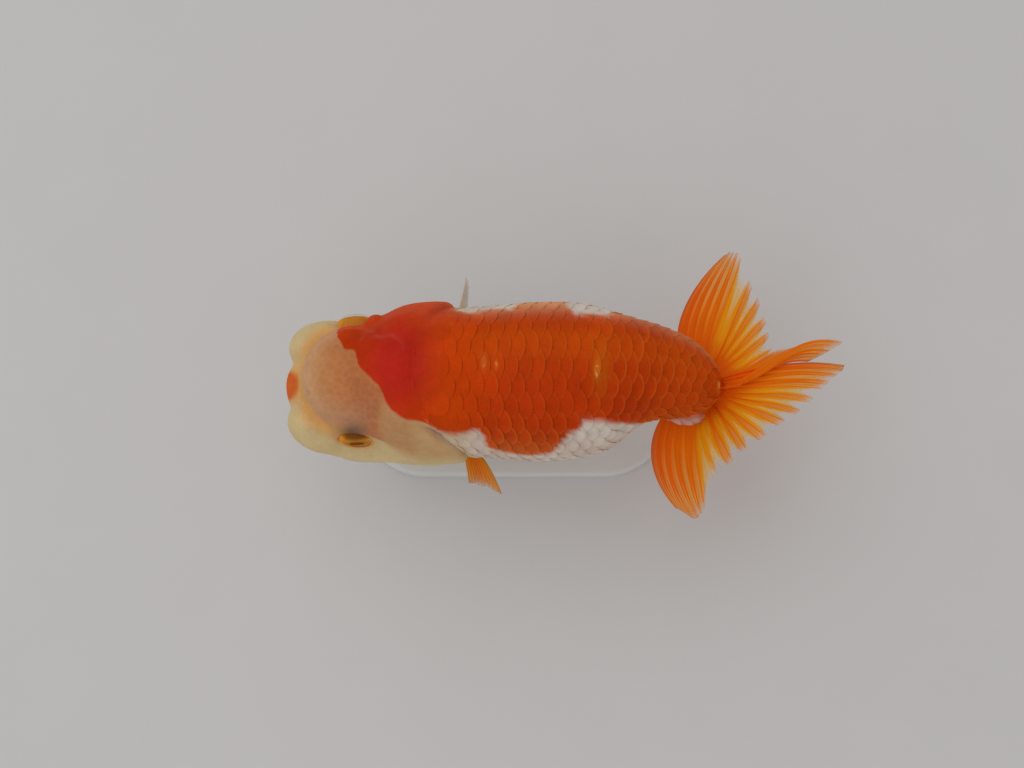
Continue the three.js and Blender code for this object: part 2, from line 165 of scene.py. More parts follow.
def poleFans(rings, sides):
    # the triangles from the first and the last ring to their poles, whose points come after the rings
    j = np.arange(sides)
    last, pole = (rings - 1) * sides, rings * sides
    startFan = np.stack([np.full(sides, pole), (j + 1) % sides, j], -1)
    endFan = np.stack([last + j, last + (j + 1) % sides, np.full(sides, pole + 1)], -1)
    return startFan, endFan


def closedTube(name, points, startPole, endPole, **more):
    # rings of points closed round by their columns, and by a fan to a pole at each end
    rings, sides = points.shape[:2]
    allPoints = np.concatenate([points.reshape(-1, 3), [startPole], [endPole]])
    return addMesh(name, allPoints, [gridQuads(rings, sides, closed=True), *poleFans(rings, sides)], **more)


def tubeMap(rings, sides):
    # unwrap of a closed tube: across, the share of the way round; up, the share of the way between the poles
    i, j = np.meshgrid(np.arange(rings - 1), np.arange(sides), indexing="ij")
    columns, rows = np.stack([j, j + 1, j + 1, j], -1), np.stack([i, i, i + 1, i + 1], -1) + 1
    j = np.arange(sides)
    one = np.ones(sides)
    top = np.stack([j + 0.5, 0 * one, j + 1, one, j, one], -1).reshape(-1, 2)
    foot = np.stack([j, rings * one, j + 1, rings * one, j + 0.5, (rings + 1) * one], -1).reshape(-1, 2)
    cells = np.stack([columns, rows], -1).reshape(-1, 2)
    return np.concatenate([cells, top, foot]) / (sides, rings + 1)


# materials as expressions

class Wire:
    # an output socket; arithmetic on it adds Math nodes, or Vector Math ones for vectors and colours
    def __init__(self, paint, socket):
        self.paint = paint
        self.socket = socket

    def combined(self, operation, first, second):
        pair = (first, second)
        wires = [w for w in pair if isinstance(w, Wire)]
        flat = all(w.socket.type == "VALUE" for w in wires) and not any(isinstance(w, tuple) for w in pair)
        kind = "ShaderNodeMath" if flat else "ShaderNodeVectorMath"
        return self.paint.node(kind, {"operation": operation}, {0: first, 1: second})

    def __add__(self, other):
        return self.combined("ADD", self, other)

    def __radd__(self, other):
        return self.combined("ADD", other, self)

    def __sub__(self, other):
        return self.combined("SUBTRACT", self, other)

    def __rsub__(self, other):
        return self.combined("SUBTRACT", other, self)

    def __mul__(self, other):
        return self.combined("MULTIPLY", self, other)

    def __rmul__(self, other):
        return self.combined("MULTIPLY", other, self)

    def __truediv__(self, other):
        return self.combined("DIVIDE", self, other)

    def __pow__(self, power):
        return self.combined("POWER", self, power)


class Paint:
    # one material and its nodes
    def __init__(self, name):
        self.material = bpy.data.materials.new(name)
        self.material.use_nodes = True
        self.tree = self.material.node_tree
        self.tree.nodes.clear()

    def node(self, kind, settings=None, inputs=None, output=0):
        # settings are set first, because they can change which sockets a node shows
        made = self.tree.nodes.new(kind)
        for setting, value in (settings or {}).items():
            if setting == "stops":
                ramp = made.color_ramp
                while len(ramp.elements) < len(value):
                    ramp.elements.new(0.5)
                for element, (place, rgb) in zip(ramp.elements, value):
                    element.position = place
                    element.color = (*rgb, 1)
            else:
                setattr(made, setting, value)
        for key, value in (inputs or {}).items():
            socket = made.inputs[key]
            if isinstance(value, Wire):
                self.tree.links.new(value.socket, socket)
            elif socket.type == "RGBA":
                socket.default_value = (*value, 1)
            elif socket.type == "VECTOR" and not isinstance(value, tuple):
                socket.default_value = (value, value, value)
            else:
                socket.default_value = value
        return Wire(self, made.outputs[output]) if made.outputs else made

    def attribute(self, name, output="Fac"):
        return self.node("ShaderNodeAttribute", {"attribute_name": name}, output=output)

    def place(self):
        return self.node("ShaderNodeTexCoord", output="Object")

    def mix(self, share, first, second):
        # colour from first to second
        return self.node("ShaderNodeMix", {"data_type": "RGBA"}, {0: share, 6: first, 7: second}, output=2)

    def ramp(self, value, low, high, lowOut=0.0, highOut=1.0):
        # smooth step of a value from low to high
        settings = {"interpolation_type": "SMOOTHSTEP"}
        return self.node("ShaderNodeMapRange", settings, {0: value, 1: low, 2: high, 3: lowOut, 4: highOut})

    def noise(self, where, scale, detail):
        inputs = {"Vector": where, "Scale": scale, "Detail": detail, "Roughness": 0.55}
        return self.node("ShaderNodeTexNoise", {}, inputs)

    def sine(self, value):
        return self.node("ShaderNodeMath", {"operation": "SINE"}, {0: value})

    def bump(self, height, distance, strength):
        return self.node("ShaderNodeBump", {}, {"Height": height, "Distance": distance, "Strength": strength})

    def finish(self, **inputs):
        # Principled surface; names of sockets are written with underscores for spaces
        named = {key.replace("_", " "): value for key, value in inputs.items()}
        shader = self.node("ShaderNodeBsdfPrincipled", {}, named)
        self.node("ShaderNodeOutputMaterial", {}, {"Surface": shader})
        return self.material


# the surface of the body

eyeLow, eyeHigh = boxOf("eye_left")
eyePlan = {
    "overMiddle": 1.6,      # height of the eye over the middle of the body
    "opening": 3.4,         # radius of the opening in the skin
    "size": {"left": 1.08, "right": 1.0},
    "corner": 0.08,         # how much longer it is towards its two corners
    "rise": {"left": 0.3, "right": 0.0},    # how far it sits over the middle of the ball
    "back": {"left": 0.3, "right": 0.0},    # how far it sits behind the middle of the ball
    "recess": 1.6,
    # the flat of skin round each eye: its distance from the middle, and its slopes with x and z
    "flat": {"left": (15.3, 0.084, -0.29), "right": (14.5, 0.07, -0.48)},
    "flatTo": 4.2, "fadeTo": 7.6,           # where it starts to fade into the head, and where it has gone
}
middleZ = (eyeLow[2] + eyeHigh[2]) / 2 - eyePlan["overMiddle"]  # heights below count from here
eyeX = (eyeLow[0] + eyeHigh[0]) / 2

bodyPlan = {
    "x": [-52, -40, -26, -8, 8, 22, 33, 44, 52],
    "halfWidth": [12, 16.6, 18, 18.7, 19.7, 18.2, 13, 10.2, 9],
    "shift": [0, 0, 0, 0, 0, 0.8, 2.1, 1, -0.5],
    "top": [6, 12.5, 19, 23.6, 25, 23, 18, 11.5, 5],
    "bottom": [-15, -18.5, -21.5, -25, -26, -23.5, -16.5, -12, -9],
    "fullness": 2.2,        # 2 makes each section an ellipse, more is fuller
    "muzzleX": -55, "muzzleRounding": 9,
    "tailX": 52, "tailRounding": 11, "tailPower": 3.2,
    "thinnest": 0.05,
}

# swellings that blend into the body: middle, radii, width of the blend, and whether both sides have one
swellings = [
    ((-40, 0, 7.5), (12.6, 12.2, 11.6), 1.4, False),       # crown
    ((-27.5, 0, 11), (11, 14, 10), 3.0, False),            # nape
    ((-53.4, -0.4, -4.6), (3.7, 4.3, 4), 1.0, False),      # lips
    ((-47, 9.3, -5), (10.2, 7.2, 9.6), 1.6, True),         # cheeks
    ((-37, 9.5, -9.5), (12, 8.6, 10), 2.4, True),          # jowls
    ((-26, 9.2, -4), (15, 9.3, 14), 4.0, True),            # gills
    ((43, -7.4, -4.8), (5.4, 3.0, 3.6), 1.2, False),       # pale pad beside the root of the tail
]
foldLobes = [
    ((-40.2, 8.8, 12.1), (4.4, 2.7, 3.5), 0.5, False),     # lumps over and behind the right eye
    ((-34.5, 12.4, 7.6), (3.1, 3.4, 4.4), 0.6, False),
    ((-34.2, 6.4, 13.4), (4.4, 4.4, 5.5), 0.6, False),
    ((-33.2, -10.6, 8.0), (5.6, 4.4, 4.4), 3.0, False),    # soft lump behind the left eye
    ((-39.5, -11.0, 6.9), (5.6, 3.3, 3.4), 1.6, False),    # brows
    ((-39.5, 9.3, 7.2), (5.6, 3.3, 3.4), 1.6, False),
    ((-52.9, -0.4, -4.6), (4.0, 7.8, 3.6), 1.8, False),    # fills the corners of the mouth
    ((-52.9, -0.4, -4.6), (3.7, 4.9, 4), 1.4, False),      # lips, pursed
]
dents = [  # middle, radii and depth of soft dips, or of rises where the depth is negative
    ((-33.6, -18.0, 1.2), (5.0, 6.0, 6.0), 2.5),           # behind the left eye
    ((-34.5, 18.0, 1.2), (5.0, 6.0, 7.0), 2.0),            # behind the right eye
    ((-40.0, -18.0, -2.0), (6.0, 5.0, 3.4), 1.2),          # under the left eye
    ((-43.0, -18.0, -8.5), (12.0, 6.0, 8.0), -1.1),        # left cheek and jowl
    ((34.0, -14.0, -6.0), (6.0, 6.0, 9.0), 1.4),           # before the tail stalk, left
    ((26.5, 18.5, 2.0), (7.0, 5.0, 14.0), 1.5),            # before the tail stalk, right
]
folds = [  # creases between the lumps of the hood, as x and y on its upper side
    [(-42.9, 10.4), (-41.7, 11.0), (-40.1, 11.4), (-37.8, 11.5), (-36.8, 11.1), (-35.5, 10.1), (-34.6, 9.5)],
    [(-36.9, 7.6), (-35.6, 7.95), (-34.7, 8.2), (-33.8, 8.3), (-32.7, 8.0), (-32.0, 8.6), (-31.4, 10.4)],
    [(-32.5, 8.2), (-31.0, 8.4), (-29.4, 8.0), (-27.8, 6.7), (-27.1, 5.1)],
]

gillPlan = {
    "left": (-28, -2, 16, 17),      # middle x and z, half length and half height
    "right": (-31, -1, 15.8, 18.5),
    "lift": 1.4, "softness": 1.3, "fadeFrom": -37, "fadeLength": 17, "innerY": 6, "innerFade": 6,
}


def coreDistance(x, y, z):
    # superellipse |y/a|^n + |z/b|^n = 1 whose half sizes a and b follow the body, rounded off at both ends
    plan = bodyPlan
    front = clamp01((plan["muzzleX"] + plan["muzzleRounding"] - x) / plan["muzzleRounding"])
    back = clamp01((x - plan["tailX"] + plan["tailRounding"]) / plan["tailRounding"])
    nose = np.sqrt(1 - front ** 2)
    tailAcross = np.sqrt(1 - back ** 2)
    tailUpright = (1 - back ** plan["tailPower"]) ** (1 / plan["tailPower"])
    keys = ("top", "bottom", "halfWidth", "shift")
    top, bottom, widest, shift = (through(plan["x"], plan[key], x) for key in keys)
    halfWidth = np.maximum(widest * nose * tailAcross, plan["thinnest"])
    halfHeight = np.maximum((top - bottom) / 2 * nose * tailUpright, plan["thinnest"])
    across, up = np.abs(y - shift) / halfWidth, np.abs(z - (top + bottom) / 2) / halfHeight
    ratio = (across ** plan["fullness"] + up ** plan["fullness"]) ** (1 / plan["fullness"])
    aside = (ratio - 1) * np.minimum(halfWidth, halfHeight)
    return np.maximum(aside, np.maximum(plan["muzzleX"] - x, x - plan["tailX"]))


def lobeDistance(lobe, x, y, z):
    # near enough the distance from an ellipsoid: r (r - 1) / |slope of r|
    at, radii, _, both = lobe
    beside = np.abs(y) if both else y
    sx, sy, sz = (x - at[0]) / radii[0], (beside - at[1]) / radii[1], (z - at[2]) / radii[2]
    r = np.sqrt(sx ** 2 + sy ** 2 + sz ** 2) + 1e-6
    return r * (r - 1) / (np.sqrt((sx / radii[0]) ** 2 + (sy / radii[1]) ** 2 + (sz / radii[2]) ** 2) + 1e-6)


def fleshDistance(x, y, z, lobes):
    distance = coreDistance(x, y, z)
    for lobe in lobes:
        distance = blended(distance, lobeDistance(lobe, x, y, z), lobe[2])
    return distance


def gillEdge(x, y, z):
    # distance inside the oval rim of the gill cover, seen from the side
    atX, atZ, halfLength, halfHeight = (onSide(y, *pair) for pair in zip(gillPlan["left"], gillPlan["right"]))
    return (1 - np.hypot((x - atX) / halfLength, (z - atZ) / halfHeight)) * halfLength


def gillLift(x, y, z):
    # a plate that stands proud behind, with a quarter round rim, and melts into the head in front
    edge = clamp01(gillEdge(x, y, z) / gillPlan["softness"])
    forward = clamp01((x - gillPlan["fadeFrom"]) / gillPlan["fadeLength"])
    inward = clamp01((np.abs(y) - gillPlan["innerY"]) / gillPlan["innerFade"])
    return gillPlan["lift"] * np.sqrt(1 - (1 - edge) ** 2) * forward * inward


def eyeAway(x, y, z):
    # distance from the middle of the eye seen from the side, stretched so that equal values draw an almond
    back, size, rise = (onSide(y, *eyePlan[key].values()) for key in ("back", "size", "rise"))
    aside, up = x - eyeX - back, z - eyePlan["overMiddle"] - rise
    away = np.hypot(aside, up) + 1e-6
    return away / size / (1 + eyePlan["corner"] * (np.abs(aside) / away) ** 4)


def eyeSocket(x, y, z):
    # depth of the hollow for the eyeball
    tuckedShade = 1 - smooth(eyePlan["opening"] - 0.3, eyePlan["opening"] + 0.2, eyeAway(x, y, z))
    return smooth(6, 9, np.abs(y)) * eyePlan["recess"] * tuckedShade


def dentDepth(x, y, z):
    # soft dips, each a bell of the distance from its middle in its own radii
    total = 0.0
    for at, radii, depth in dents:
        total = total + depth * np.exp(-sum(((v - m) / r) ** 2 for v, m, r in zip((x, y, z), at, radii)))
    return total


def flatDistance(x, y, z):
    # distance outside the sloping flat round the eye
    outward, perX, perZ = (onSide(y, *pair) for pair in zip(*eyePlan["flat"].values()))
    away = np.abs(y) - outward - perX * (x - eyeX) - perZ * (z - eyePlan["overMiddle"])
    return away / np.sqrt(1 + perX ** 2 + perZ ** 2)


def headDistance(x, y, z):
    distance = fleshDistance(x, y, z, swellings + foldLobes) - gillLift(x, y, z) + dentDepth(x, y, z)
    share = (1 - smooth(eyePlan["flatTo"], eyePlan["fadeTo"], eyeAway(x, y, z))) * smooth(8, 11, np.abs(y))
    return lerp(distance, flatDistance(x, y, z), share)


def skinDistance(x, y, z):
    return headDistance(x, y, z) + eyeSocket(x, y, z)


def coatDistance(x, y, z):
    return fleshDistance(x, y, z, swellings) + dentDepth(x, y, z)


innerLine = {"from": -37, "to": 42, "frontZ": -2, "backZ": -1}  # rays from this line find the surface


def lineShare(x):
    return (x - innerLine["from"]) / (innerLine["to"] - innerLine["from"])


def turnOf(x, y, z):
    # degrees round the body: 0 on the back, 90 on the left flank, -90 on the right, 180 under the belly
    lineZ = lerp(innerLine["frontZ"], innerLine["backZ"], clamp01(lineShare(x)))
    return np.degrees(np.arctan2(-y, z - lineZ))


def scaleFront(turn):
    # where the scales begin, on the nape, behind the gill covers and on the throat
    turns = [0, 30, 55, 75, 100, 125, 150, 180]
    return np.interp(np.abs(turn), turns, [-27.5, -25, -18, -13, -11.5, -12.5, -14, -14])


def coatDepth(x, turn):
    # how far the skin lies inside the body's outline: deep under the scales, next to nothing on the head
    front = scaleFront(turn)
    return lerp(0.05, 0.62, smooth(front - 1, front + 3, x))


castPlan = {"nearest": 3.0, "stride": 0.8, "halvings": 13}


def castSurface(run, lean, turn, distance, inset=None):
    # walks out along all rays at once until the distance turns positive, then halves the last step
    originX = lerp(innerLine["from"], innerLine["to"], run)
    originZ = lerp(innerLine["frontZ"], innerLine["backZ"], run)
    leaning, turning = np.radians(lean), np.radians(turn)
    sideways, upward = -np.sin(leaning) * np.sin(turning), np.sin(leaning) * np.cos(turning)
    ray = np.stack([-np.cos(leaning) + 0 * turn, sideways, upward], -1)
    origin = np.stack([originX + 0 * turn, 0 * originX + 0 * turn, originZ + 0 * turn], -1)
    flatRay, flatOrigin = ray.reshape(-1, 3), origin.reshape(-1, 3)
    flatTurn = (turn + 0 * lean).ravel()
    near = np.full(len(flatRay), castPlan["nearest"])

    def outside(which, reach):
        p = flatOrigin[which] + flatRay[which] * reach[:, None]
        depth = inset(p[:, 0], flatTurn[which]) if inset else 0
        return distance(p[:, 0], p[:, 1], p[:, 2]) + depth > 0

    walking = np.arange(len(near))
    while len(walking):
        walking = walking[~outside(walking, near[walking] + castPlan["stride"])]
        near[walking] += castPlan["stride"]
    everyRay, far = np.arange(len(near)), near + castPlan["stride"]
    for _ in range(castPlan["halvings"]):
        middle = (near + far) / 2
        out = outside(everyRay, middle)
        near, far = np.where(out, near, middle), np.where(out, middle, far)
    points = flatOrigin + flatRay * near[:, None]
    points[:, 2] += middleZ
    return points.reshape(ray.shape)


skinPlan = {
    # rings of points ahead of the inner line, along its front part, along the rest and behind it
    "rings": (82, 52, 84, 28), "frontPart": 0.26, "sides": 398,
    "cobbleSize": 2.0, "cobbleLift": 0.10, "cheekCobble": 0.04, "foldDepth": 0.32,
    "gillRibs": 0.035, "gillRings": 0.03,   # heights of the fine lines on the gill covers
    "mouthY": -0.4, "mouthZ": -4.3, "mouthHalfWidth": 3.4, "mouthDepth": 1.1, "mouthHeight": 0.36,
    "lipLift": 0.36,
    "nostril": (-50.4, 5.2, 0.75),      # x, distance from the middle, radius
    "nostrilDepth": 0.5, "nostrilRim": 0.22,
}


def ringTable():
    # the share of the inner line and the lean of the rays from straight ahead, for each ring
    front, neck, trunk, back = skinPlan["rings"]
    part = skinPlan["frontPart"]
    along = [np.linspace(0, part, neck + 1)[1:], np.linspace(part, 1, trunk + 1)[1:]]
    run = np.concatenate([np.zeros(front), *along, np.ones(back - 1)])
    ahead, behind = np.arange(1, front + 1) / front * 90, 90 + np.arange(1, back) / back * 90
    lean = np.concatenate([ahead, np.full(neck + trunk, 90.0), behind])
    return run[:, None], lean[:, None]


def gridNormals(points):
    across = np.roll(points, -1, axis=1) - np.roll(points, 1, axis=1)
    normals = np.cross(across, np.gradient(points, axis=0))
    return normals / (np.linalg.norm(normals, axis=-1, keepdims=True) + 1e-9)


# markings and painted light, shared by the skin and the scales

paints = {  # colours of the surface itself, and of painted light: the glint and the pinks on the right flank and on the folds are painted highlights, the plum in the gill groove is painted shade, and the grey over the left eye is partly painted shade
    "crimson": (0.60, 0.025, 0.013), "backRed": (0.60, 0.046, 0.003), "napeOrange": (0.74, 0.070, 0.001),
    "ridgeOrange": (0.68, 0.082, 0.0025), "flankOrange": (0.68, 0.125, 0.012), "oldGold": (0.66, 0.17, 0.006),
    "gillRed": (0.74, 0.080, 0.015), "flankHighlight": (0.88, 0.40, 0.19),
    "yellow": (0.725, 0.555, 0.288), "amber": (0.76, 0.37, 0.10), "sand": (0.60, 0.34, 0.15),
    "peach": (0.62, 0.305, 0.122), "tan": (0.58, 0.182, 0.057), "dun": (0.495, 0.145, 0.053),
    "net": (0.80, 0.52, 0.34), "highlightPink": (0.80, 0.36, 0.26), "lipRed": (0.73, 0.135, 0.023),
    "white": (0.82, 0.72, 0.63), "pearl": (0.74, 0.56, 0.46), "pinkPearl": (0.68, 0.40, 0.36),
    "grey": (0.16, 0.10, 0.07), "plum": (0.22, 0.045, 0.05), "lidGold": (0.80, 0.38, 0.10),
    "lidPink": (0.72, 0.25, 0.12), "rimGold": (0.80, 0.24, 0.03), "rimRose": (0.60, 0.34, 0.28),
    "glint": (0.95, 0.54, 0.12), "poreBrown": (0.16, 0.05, 0.03),
}

# edge of the red on each flank: degrees round from the back, along x
leftEdge = {
    "x": [-44, -43.3, -41.2, -38.8, -37.6, -34.4, -32.9, -31.3, -29.6, -27.7, -24.1, -20.6, -17.7, -14.8,
          -11.6, -9.2, -7.8, -6.4, -1.7, 2.7, 8.8, 11.3, 13.2, 15.5, 16.3, 20.9, 26.4, 29.6, 32, 35, 46, 53],
    "turn": [-60, -26, -13, -12, -2, 7, 11, 21, 27, 30, 34, 41, 46, 48,
             43, 39, 45, 60, 70, 72, 66, 50, 42, 39, 32.5, 33.5, 43, 54, 72, 100, 125, 125],
}
rightEdge = {
    "x": [-44.5, -43, -39, -36.5, -33.5, -30, -26, -16, -14.5, -11.7, -7.6, -3.4, -0.6, 0.8, 1.8,
          10.6, 12, 13, 14.5, 22.5, 25.5, 28, 36, 53],
    "turn": [20, 56, 60, 74, 92, 106, 113, 114, 50, 40, 44, 43, 40, 58, 86,
             84, 74, 42, 33.5, 37, 56, 90, 112, 120],
}


def painted(base, *layers):
    # colours laid one over the other, each with the share of it that covers
    tone = base
    for name, share in layers:
        tone = tone + (np.array(paints[name]) - tone) * np.asarray(share)[..., None]
    return tone


def plain(name, like):
    return np.broadcast_to(np.array(paints[name]), like.shape + (3,))


def crossed(first, second, share):
    return first + (second - first) * share[..., None]


def redShare(x, y, z, turn, softness):
    # 1 inside the red coat, 0 on the cream and white, from the two edge curves with a ragged margin
    ragged = 2.2 * waves(x, y, z, 1.1, seed=11)
    toLeft = np.interp(x, leftEdge["x"], leftEdge["turn"]) + ragged - turn
    cover = smooth(-0.5, 0.5, gillEdge(x, y, z)) * smooth(-27, -22, x)  # the right gill cover is red all over
    rightTurn = lerp(np.interp(x, rightEdge["x"], rightEdge["turn"]), 116, cover)
    toRight = rightTurn + ragged + turn
    return smooth(-softness, softness, np.where(turn > 0, toLeft, np.minimum(toLeft, toRight)))


def redCoat(x, y, z, turn):
    # crimson on the nape, dark orange red on the back, lighter and more orange on the flanks and the ridge
    onBody = smooth(-20, -8, x)
    tone = painted(
        plain("backRed", x),
        ("ridgeOrange", 0.8 * bump(turn, -14, 13) * smooth(-22, -8, x)),
        ("flankOrange", 0.85 * smooth(38, 74, np.abs(turn + 4))),
        ("ridgeOrange", 0.7 * smooth(24, 48, x)),
        ("oldGold", 0.45 * bump(x, 20.5, 2.0) * bump(turn, 2, 16)),
        # painted highlight: a light pink over the red on the right flank, the side that faces the soft box
        ("flankHighlight", 0.95 * (smooth(24, 54, -turn) * onBody * (1 - 0.5 * smooth(20, 36, x)))),
        ("napeOrange", 0.9 * bump(x, -17, 8) * (1 - smooth(30, 60, np.abs(turn)))),
        ("gillRed", 0.9 * smooth(20, 45, -turn) * (1 - smooth(-20, -12, x))),
        ("crimson", clamp01(1.25 * np.exp(-((x + 28) / 8) ** 2 - ((turn + 4) / 30) ** 2))),
        ("ridgeOrange", 0.35 * smooth(0.1, 0.7, waves(x, y, z, 2.2, seed=6)) * onBody),
    )
    return tone * (1 + 0.09 * waves(x, y, z, 2.4, seed=5))[..., None]


def paleCoat(x, y, z, turn):
    # white with pearly clouds, pinker on the left shoulder, yellow up to the gill covers
    return painted(
        plain("white", x),
        ("pearl", 0.7 * clamp01(0.5 + 0.8 * waves(x, y, z, 3.2, seed=8))),
        ("pearl", 0.45 * (1 - smooth(-2, 10, x)) * smooth(20, 50, turn)),
        ("yellow", 0.5 * (1 - smooth(-16, -8, x))),
    )


def crownShare(x, y, z, reach):
    # 1 on the surface of the crown, fading out over the reach
    return 1 - smooth(0.25 * reach, reach, lobeDistance(swellings[0], x, y, z))


def acrossCrown(x, y):
    # 0 on the middle of the crown, 1 at its rim
    return np.hypot((x + 40) / 12.6, y / 12.2)


def crownCoat(x, y, net):
    # pale in front, browner behind and to the left, with a faint net between the cobbles
    return painted(
        plain("peach", x),
        ("tan", 0.8 * smooth(-52, -40, x)),
        ("dun", 0.6 * smooth(-44, -34, x) * smooth(2, -9, y)),
        ("sand", 0.8 * smooth(-36, -30, x) * smooth(-6, -11, y)),
        ("net", 0.3 * smooth(0.5, 0.95, acrossCrown(x, y)) * smooth(-33, -40, x)),
        ("net", 0.10 * net),
    )


def headCoat(x, y, z, net):
    # cream and yellow cheeks, the crown's own colours, gold round the eyes, grey with painted shade over the
    # left one, and red lips
    behind = smooth(-43, -38, x) * smooth(3, 8, z) * (1 - smooth(-27, -22, x))
    tone = painted(
        plain("yellow", x),
        ("amber", 0.9 * (1 - smooth(1.0, 6.5, lobeDistance(swellings[0], x, y, z))) * smooth(-9, 0, z)),
        ("sand", 0.75 * smooth(-35, -29, x) * smooth(-4, 8, z)),
        ("white", 0.55 * smooth(-4, -15, z)),
    )
    tone = crossed(tone, crownCoat(x, y, net), np.maximum(crownShare(x, y, z, 1.5), behind))
    away = eyeAway(x, y, z) + 9 * (np.abs(y) < 8)
    left = y < 0
    # over the left eye: the skin's grey deepened by painted shade under the hood, and a narrow painted shadow
    # under the upper lid
    greyAndHoodShade = np.exp(-((x + 39.4) / 5.0) ** 2 - ((y + 13.0) / 2.0) ** 2) * left * smooth(1, 4, z)
    lidShadow = np.exp(-((x + 39.8) / 3.0) ** 2 - ((y + 13.8) / 1.0) ** 2) * left * smooth(3, 5, z)
    front = np.exp(-((x - eyeX + 4.2) / 0.6) ** 2 - ((z - eyePlan["overMiddle"]) / 1.6) ** 2) * left
    muzzle = np.exp(-(y / 5.2) ** 4) * smooth(3, 0, z)
    overMouth = z - skinPlan["mouthZ"]
    lips = np.hypot((y - skinPlan["mouthY"]) / 4.3, overMouth / np.where(overMouth > 0, 5.0, 2.9))
    lips = lips + 0.06 * waves(x, y, z, 1.0, seed=26)
    tone = painted(
        tone,
        ("amber", 0.3 * bump(away, 4.4, 0.8) * smooth(4, 2, z)),
        ("lidGold", 0.8 * (1 - smooth(3.6, 4.0, away))),
        ("grey", 0.42 * greyAndHoodShade * clamp01(1 + 0.5 * waves(x, y, z, 0.9, seed=21))),
        ("grey", 0.75 * lidShadow),
        ("lidPink", 0.8 * front),
        ("amber", 0.75 * muzzle * smooth(-50, -53, x)),
        ("lipRed", 0.95 * (1 - smooth(0.72, 1.02, lips)) * (x < -48)),
    )
    return tone * (1 + 0.05 * waves(x, y, z, 1.6, seed=15))[..., None]


def wholeCoat(x, y, z, turn, net=0.0, softness=1.2):
    # the head's colours, the pale body behind them, the red over both, and two small patches
    tone = crossed(headCoat(x, y, z, net), paleCoat(x, y, z, turn), smooth(0.0, 2.5, x - scaleFront(turn)))
    tone = crossed(tone, redCoat(x, y, z, turn), redShare(x, y, z, turn, softness))
    rightLid = (1 - smooth(4.2, 6.2, eyeAway(x, y, z))) * (y > 8) * smooth(-1, 2, z)
    tailPad = np.exp(-((x - 42.8) / 4.6) ** 2 - ((turn - 104) / 15) ** 2)
    return painted(tone, ("rimRose", 0.75 * rightLid), ("pinkPearl", smooth(0.35, 0.6, tailPad)))


# the skin

def cells(x, y, z, size, seed):
    # Worley cells: distance to the nearest of scattered points, and how much further the second nearest is
    table = np.random.default_rng(seed).random((4096, 3))
    at = np.stack([x, y, z], -1) / size
    home = np.floor(at).astype(np.int64)
    nearest, second = np.full(x.shape, 9.0), np.full(x.shape, 9.0)
    for step in np.ndindex(3, 3, 3):
        cell = home + np.array(step) - 1
        key = (cell[..., 0] * 73856093 ^ cell[..., 1] * 19349663 ^ cell[..., 2] * 83492791) % len(table)
        away = np.linalg.norm(cell + table[key] - at, axis=-1)
        second = np.minimum(second, np.maximum(nearest, away))
        nearest = np.minimum(nearest, away)
    return nearest, second - nearest


def nearLine(x, y, line):
    # distance in the plane from a line of straight pieces
    line = np.array(line)
    best = np.full(np.shape(x), 99.0)
    for (ax, ay), (bx, by) in zip(line[:-1], line[1:]):
        along = clamp01(((x - ax) * (bx - ax) + (y - ay) * (by - ay)) / ((bx - ax) ** 2 + (by - ay) ** 2))
        best = np.minimum(best, np.hypot(x - ax - along * (bx - ax), y - ay - along * (by - ay)))
    return best


def foldField(x, y, z):
    # 1 on the creases of the hood, fading to 0 over a millimetre
    away = np.minimum.reduce([nearLine(x, y, line) for line in folds])
    return bump(away, 0, 0.6) * smooth(5, 8, z)


def skinRelief(x, y, z, inCell):
    # lumps of the head growth, the slit of the mouth, the nostrils and the fine lines of the gill covers
    plan = skinPlan
    cobble = 0.5 - 1.6 * clamp01(inCell) ** 2
    crown = crownShare(x, y, z, 2.0)
    lift = plan["cobbleLift"] * cobble * crown * (0.35 + 0.65 * smooth(0.4, 0.9, acrossCrown(x, y)))
    cheek = plan["cheekCobble"] * cobble * (1 - crown)
    lift += cheek * (1 - smooth(-30, -24, x)) * smooth(-54, -52, x)
    aside = np.abs(y - plan["mouthY"])
    slit = bump(z, plan["mouthZ"] - 0.05 * aside ** 2, plan["mouthHeight"])
    slit *= smooth(-53.6, -54.8, x) * smooth(plan["mouthHalfWidth"], plan["mouthHalfWidth"] - 1.2, aside)
    lift -= plan["mouthDepth"] * slit
    lipRing = np.hypot(aside / 4.0, (z - plan["mouthZ"]) / 1.5)
    lift += plan["lipLift"] * bump(lipRing, 0.9, 0.42) * smooth(-53, -54.6, x)
    nostrilX, nostrilY, radius = plan["nostril"]
    away = np.hypot(x - nostrilX, np.abs(y) - nostrilY) + 9 * (z < -1)
    lift -= plan["nostrilDepth"] * bump(away, 0, radius)
    lift += plan["nostrilRim"] * bump(away, 1.7 * radius, 0.5 * radius)
    edge, onGill = gillEdge(x, y, z), np.abs(y) > 7
    ribs = np.sin(np.arctan2(z + 2, x + 40) * 46) * smooth(0.6, 3, edge) * smooth(-34, -26, x) * onGill
    rings = np.sin(edge * 4.5) * smooth(0.2, 1.2, edge) * smooth(6, 3, edge) * onGill * (x > -34)
    lift -= plan["foldDepth"] * foldField(x, y, z)
    return lift + plan["gillRibs"] * ribs + plan["gillRings"] * rings


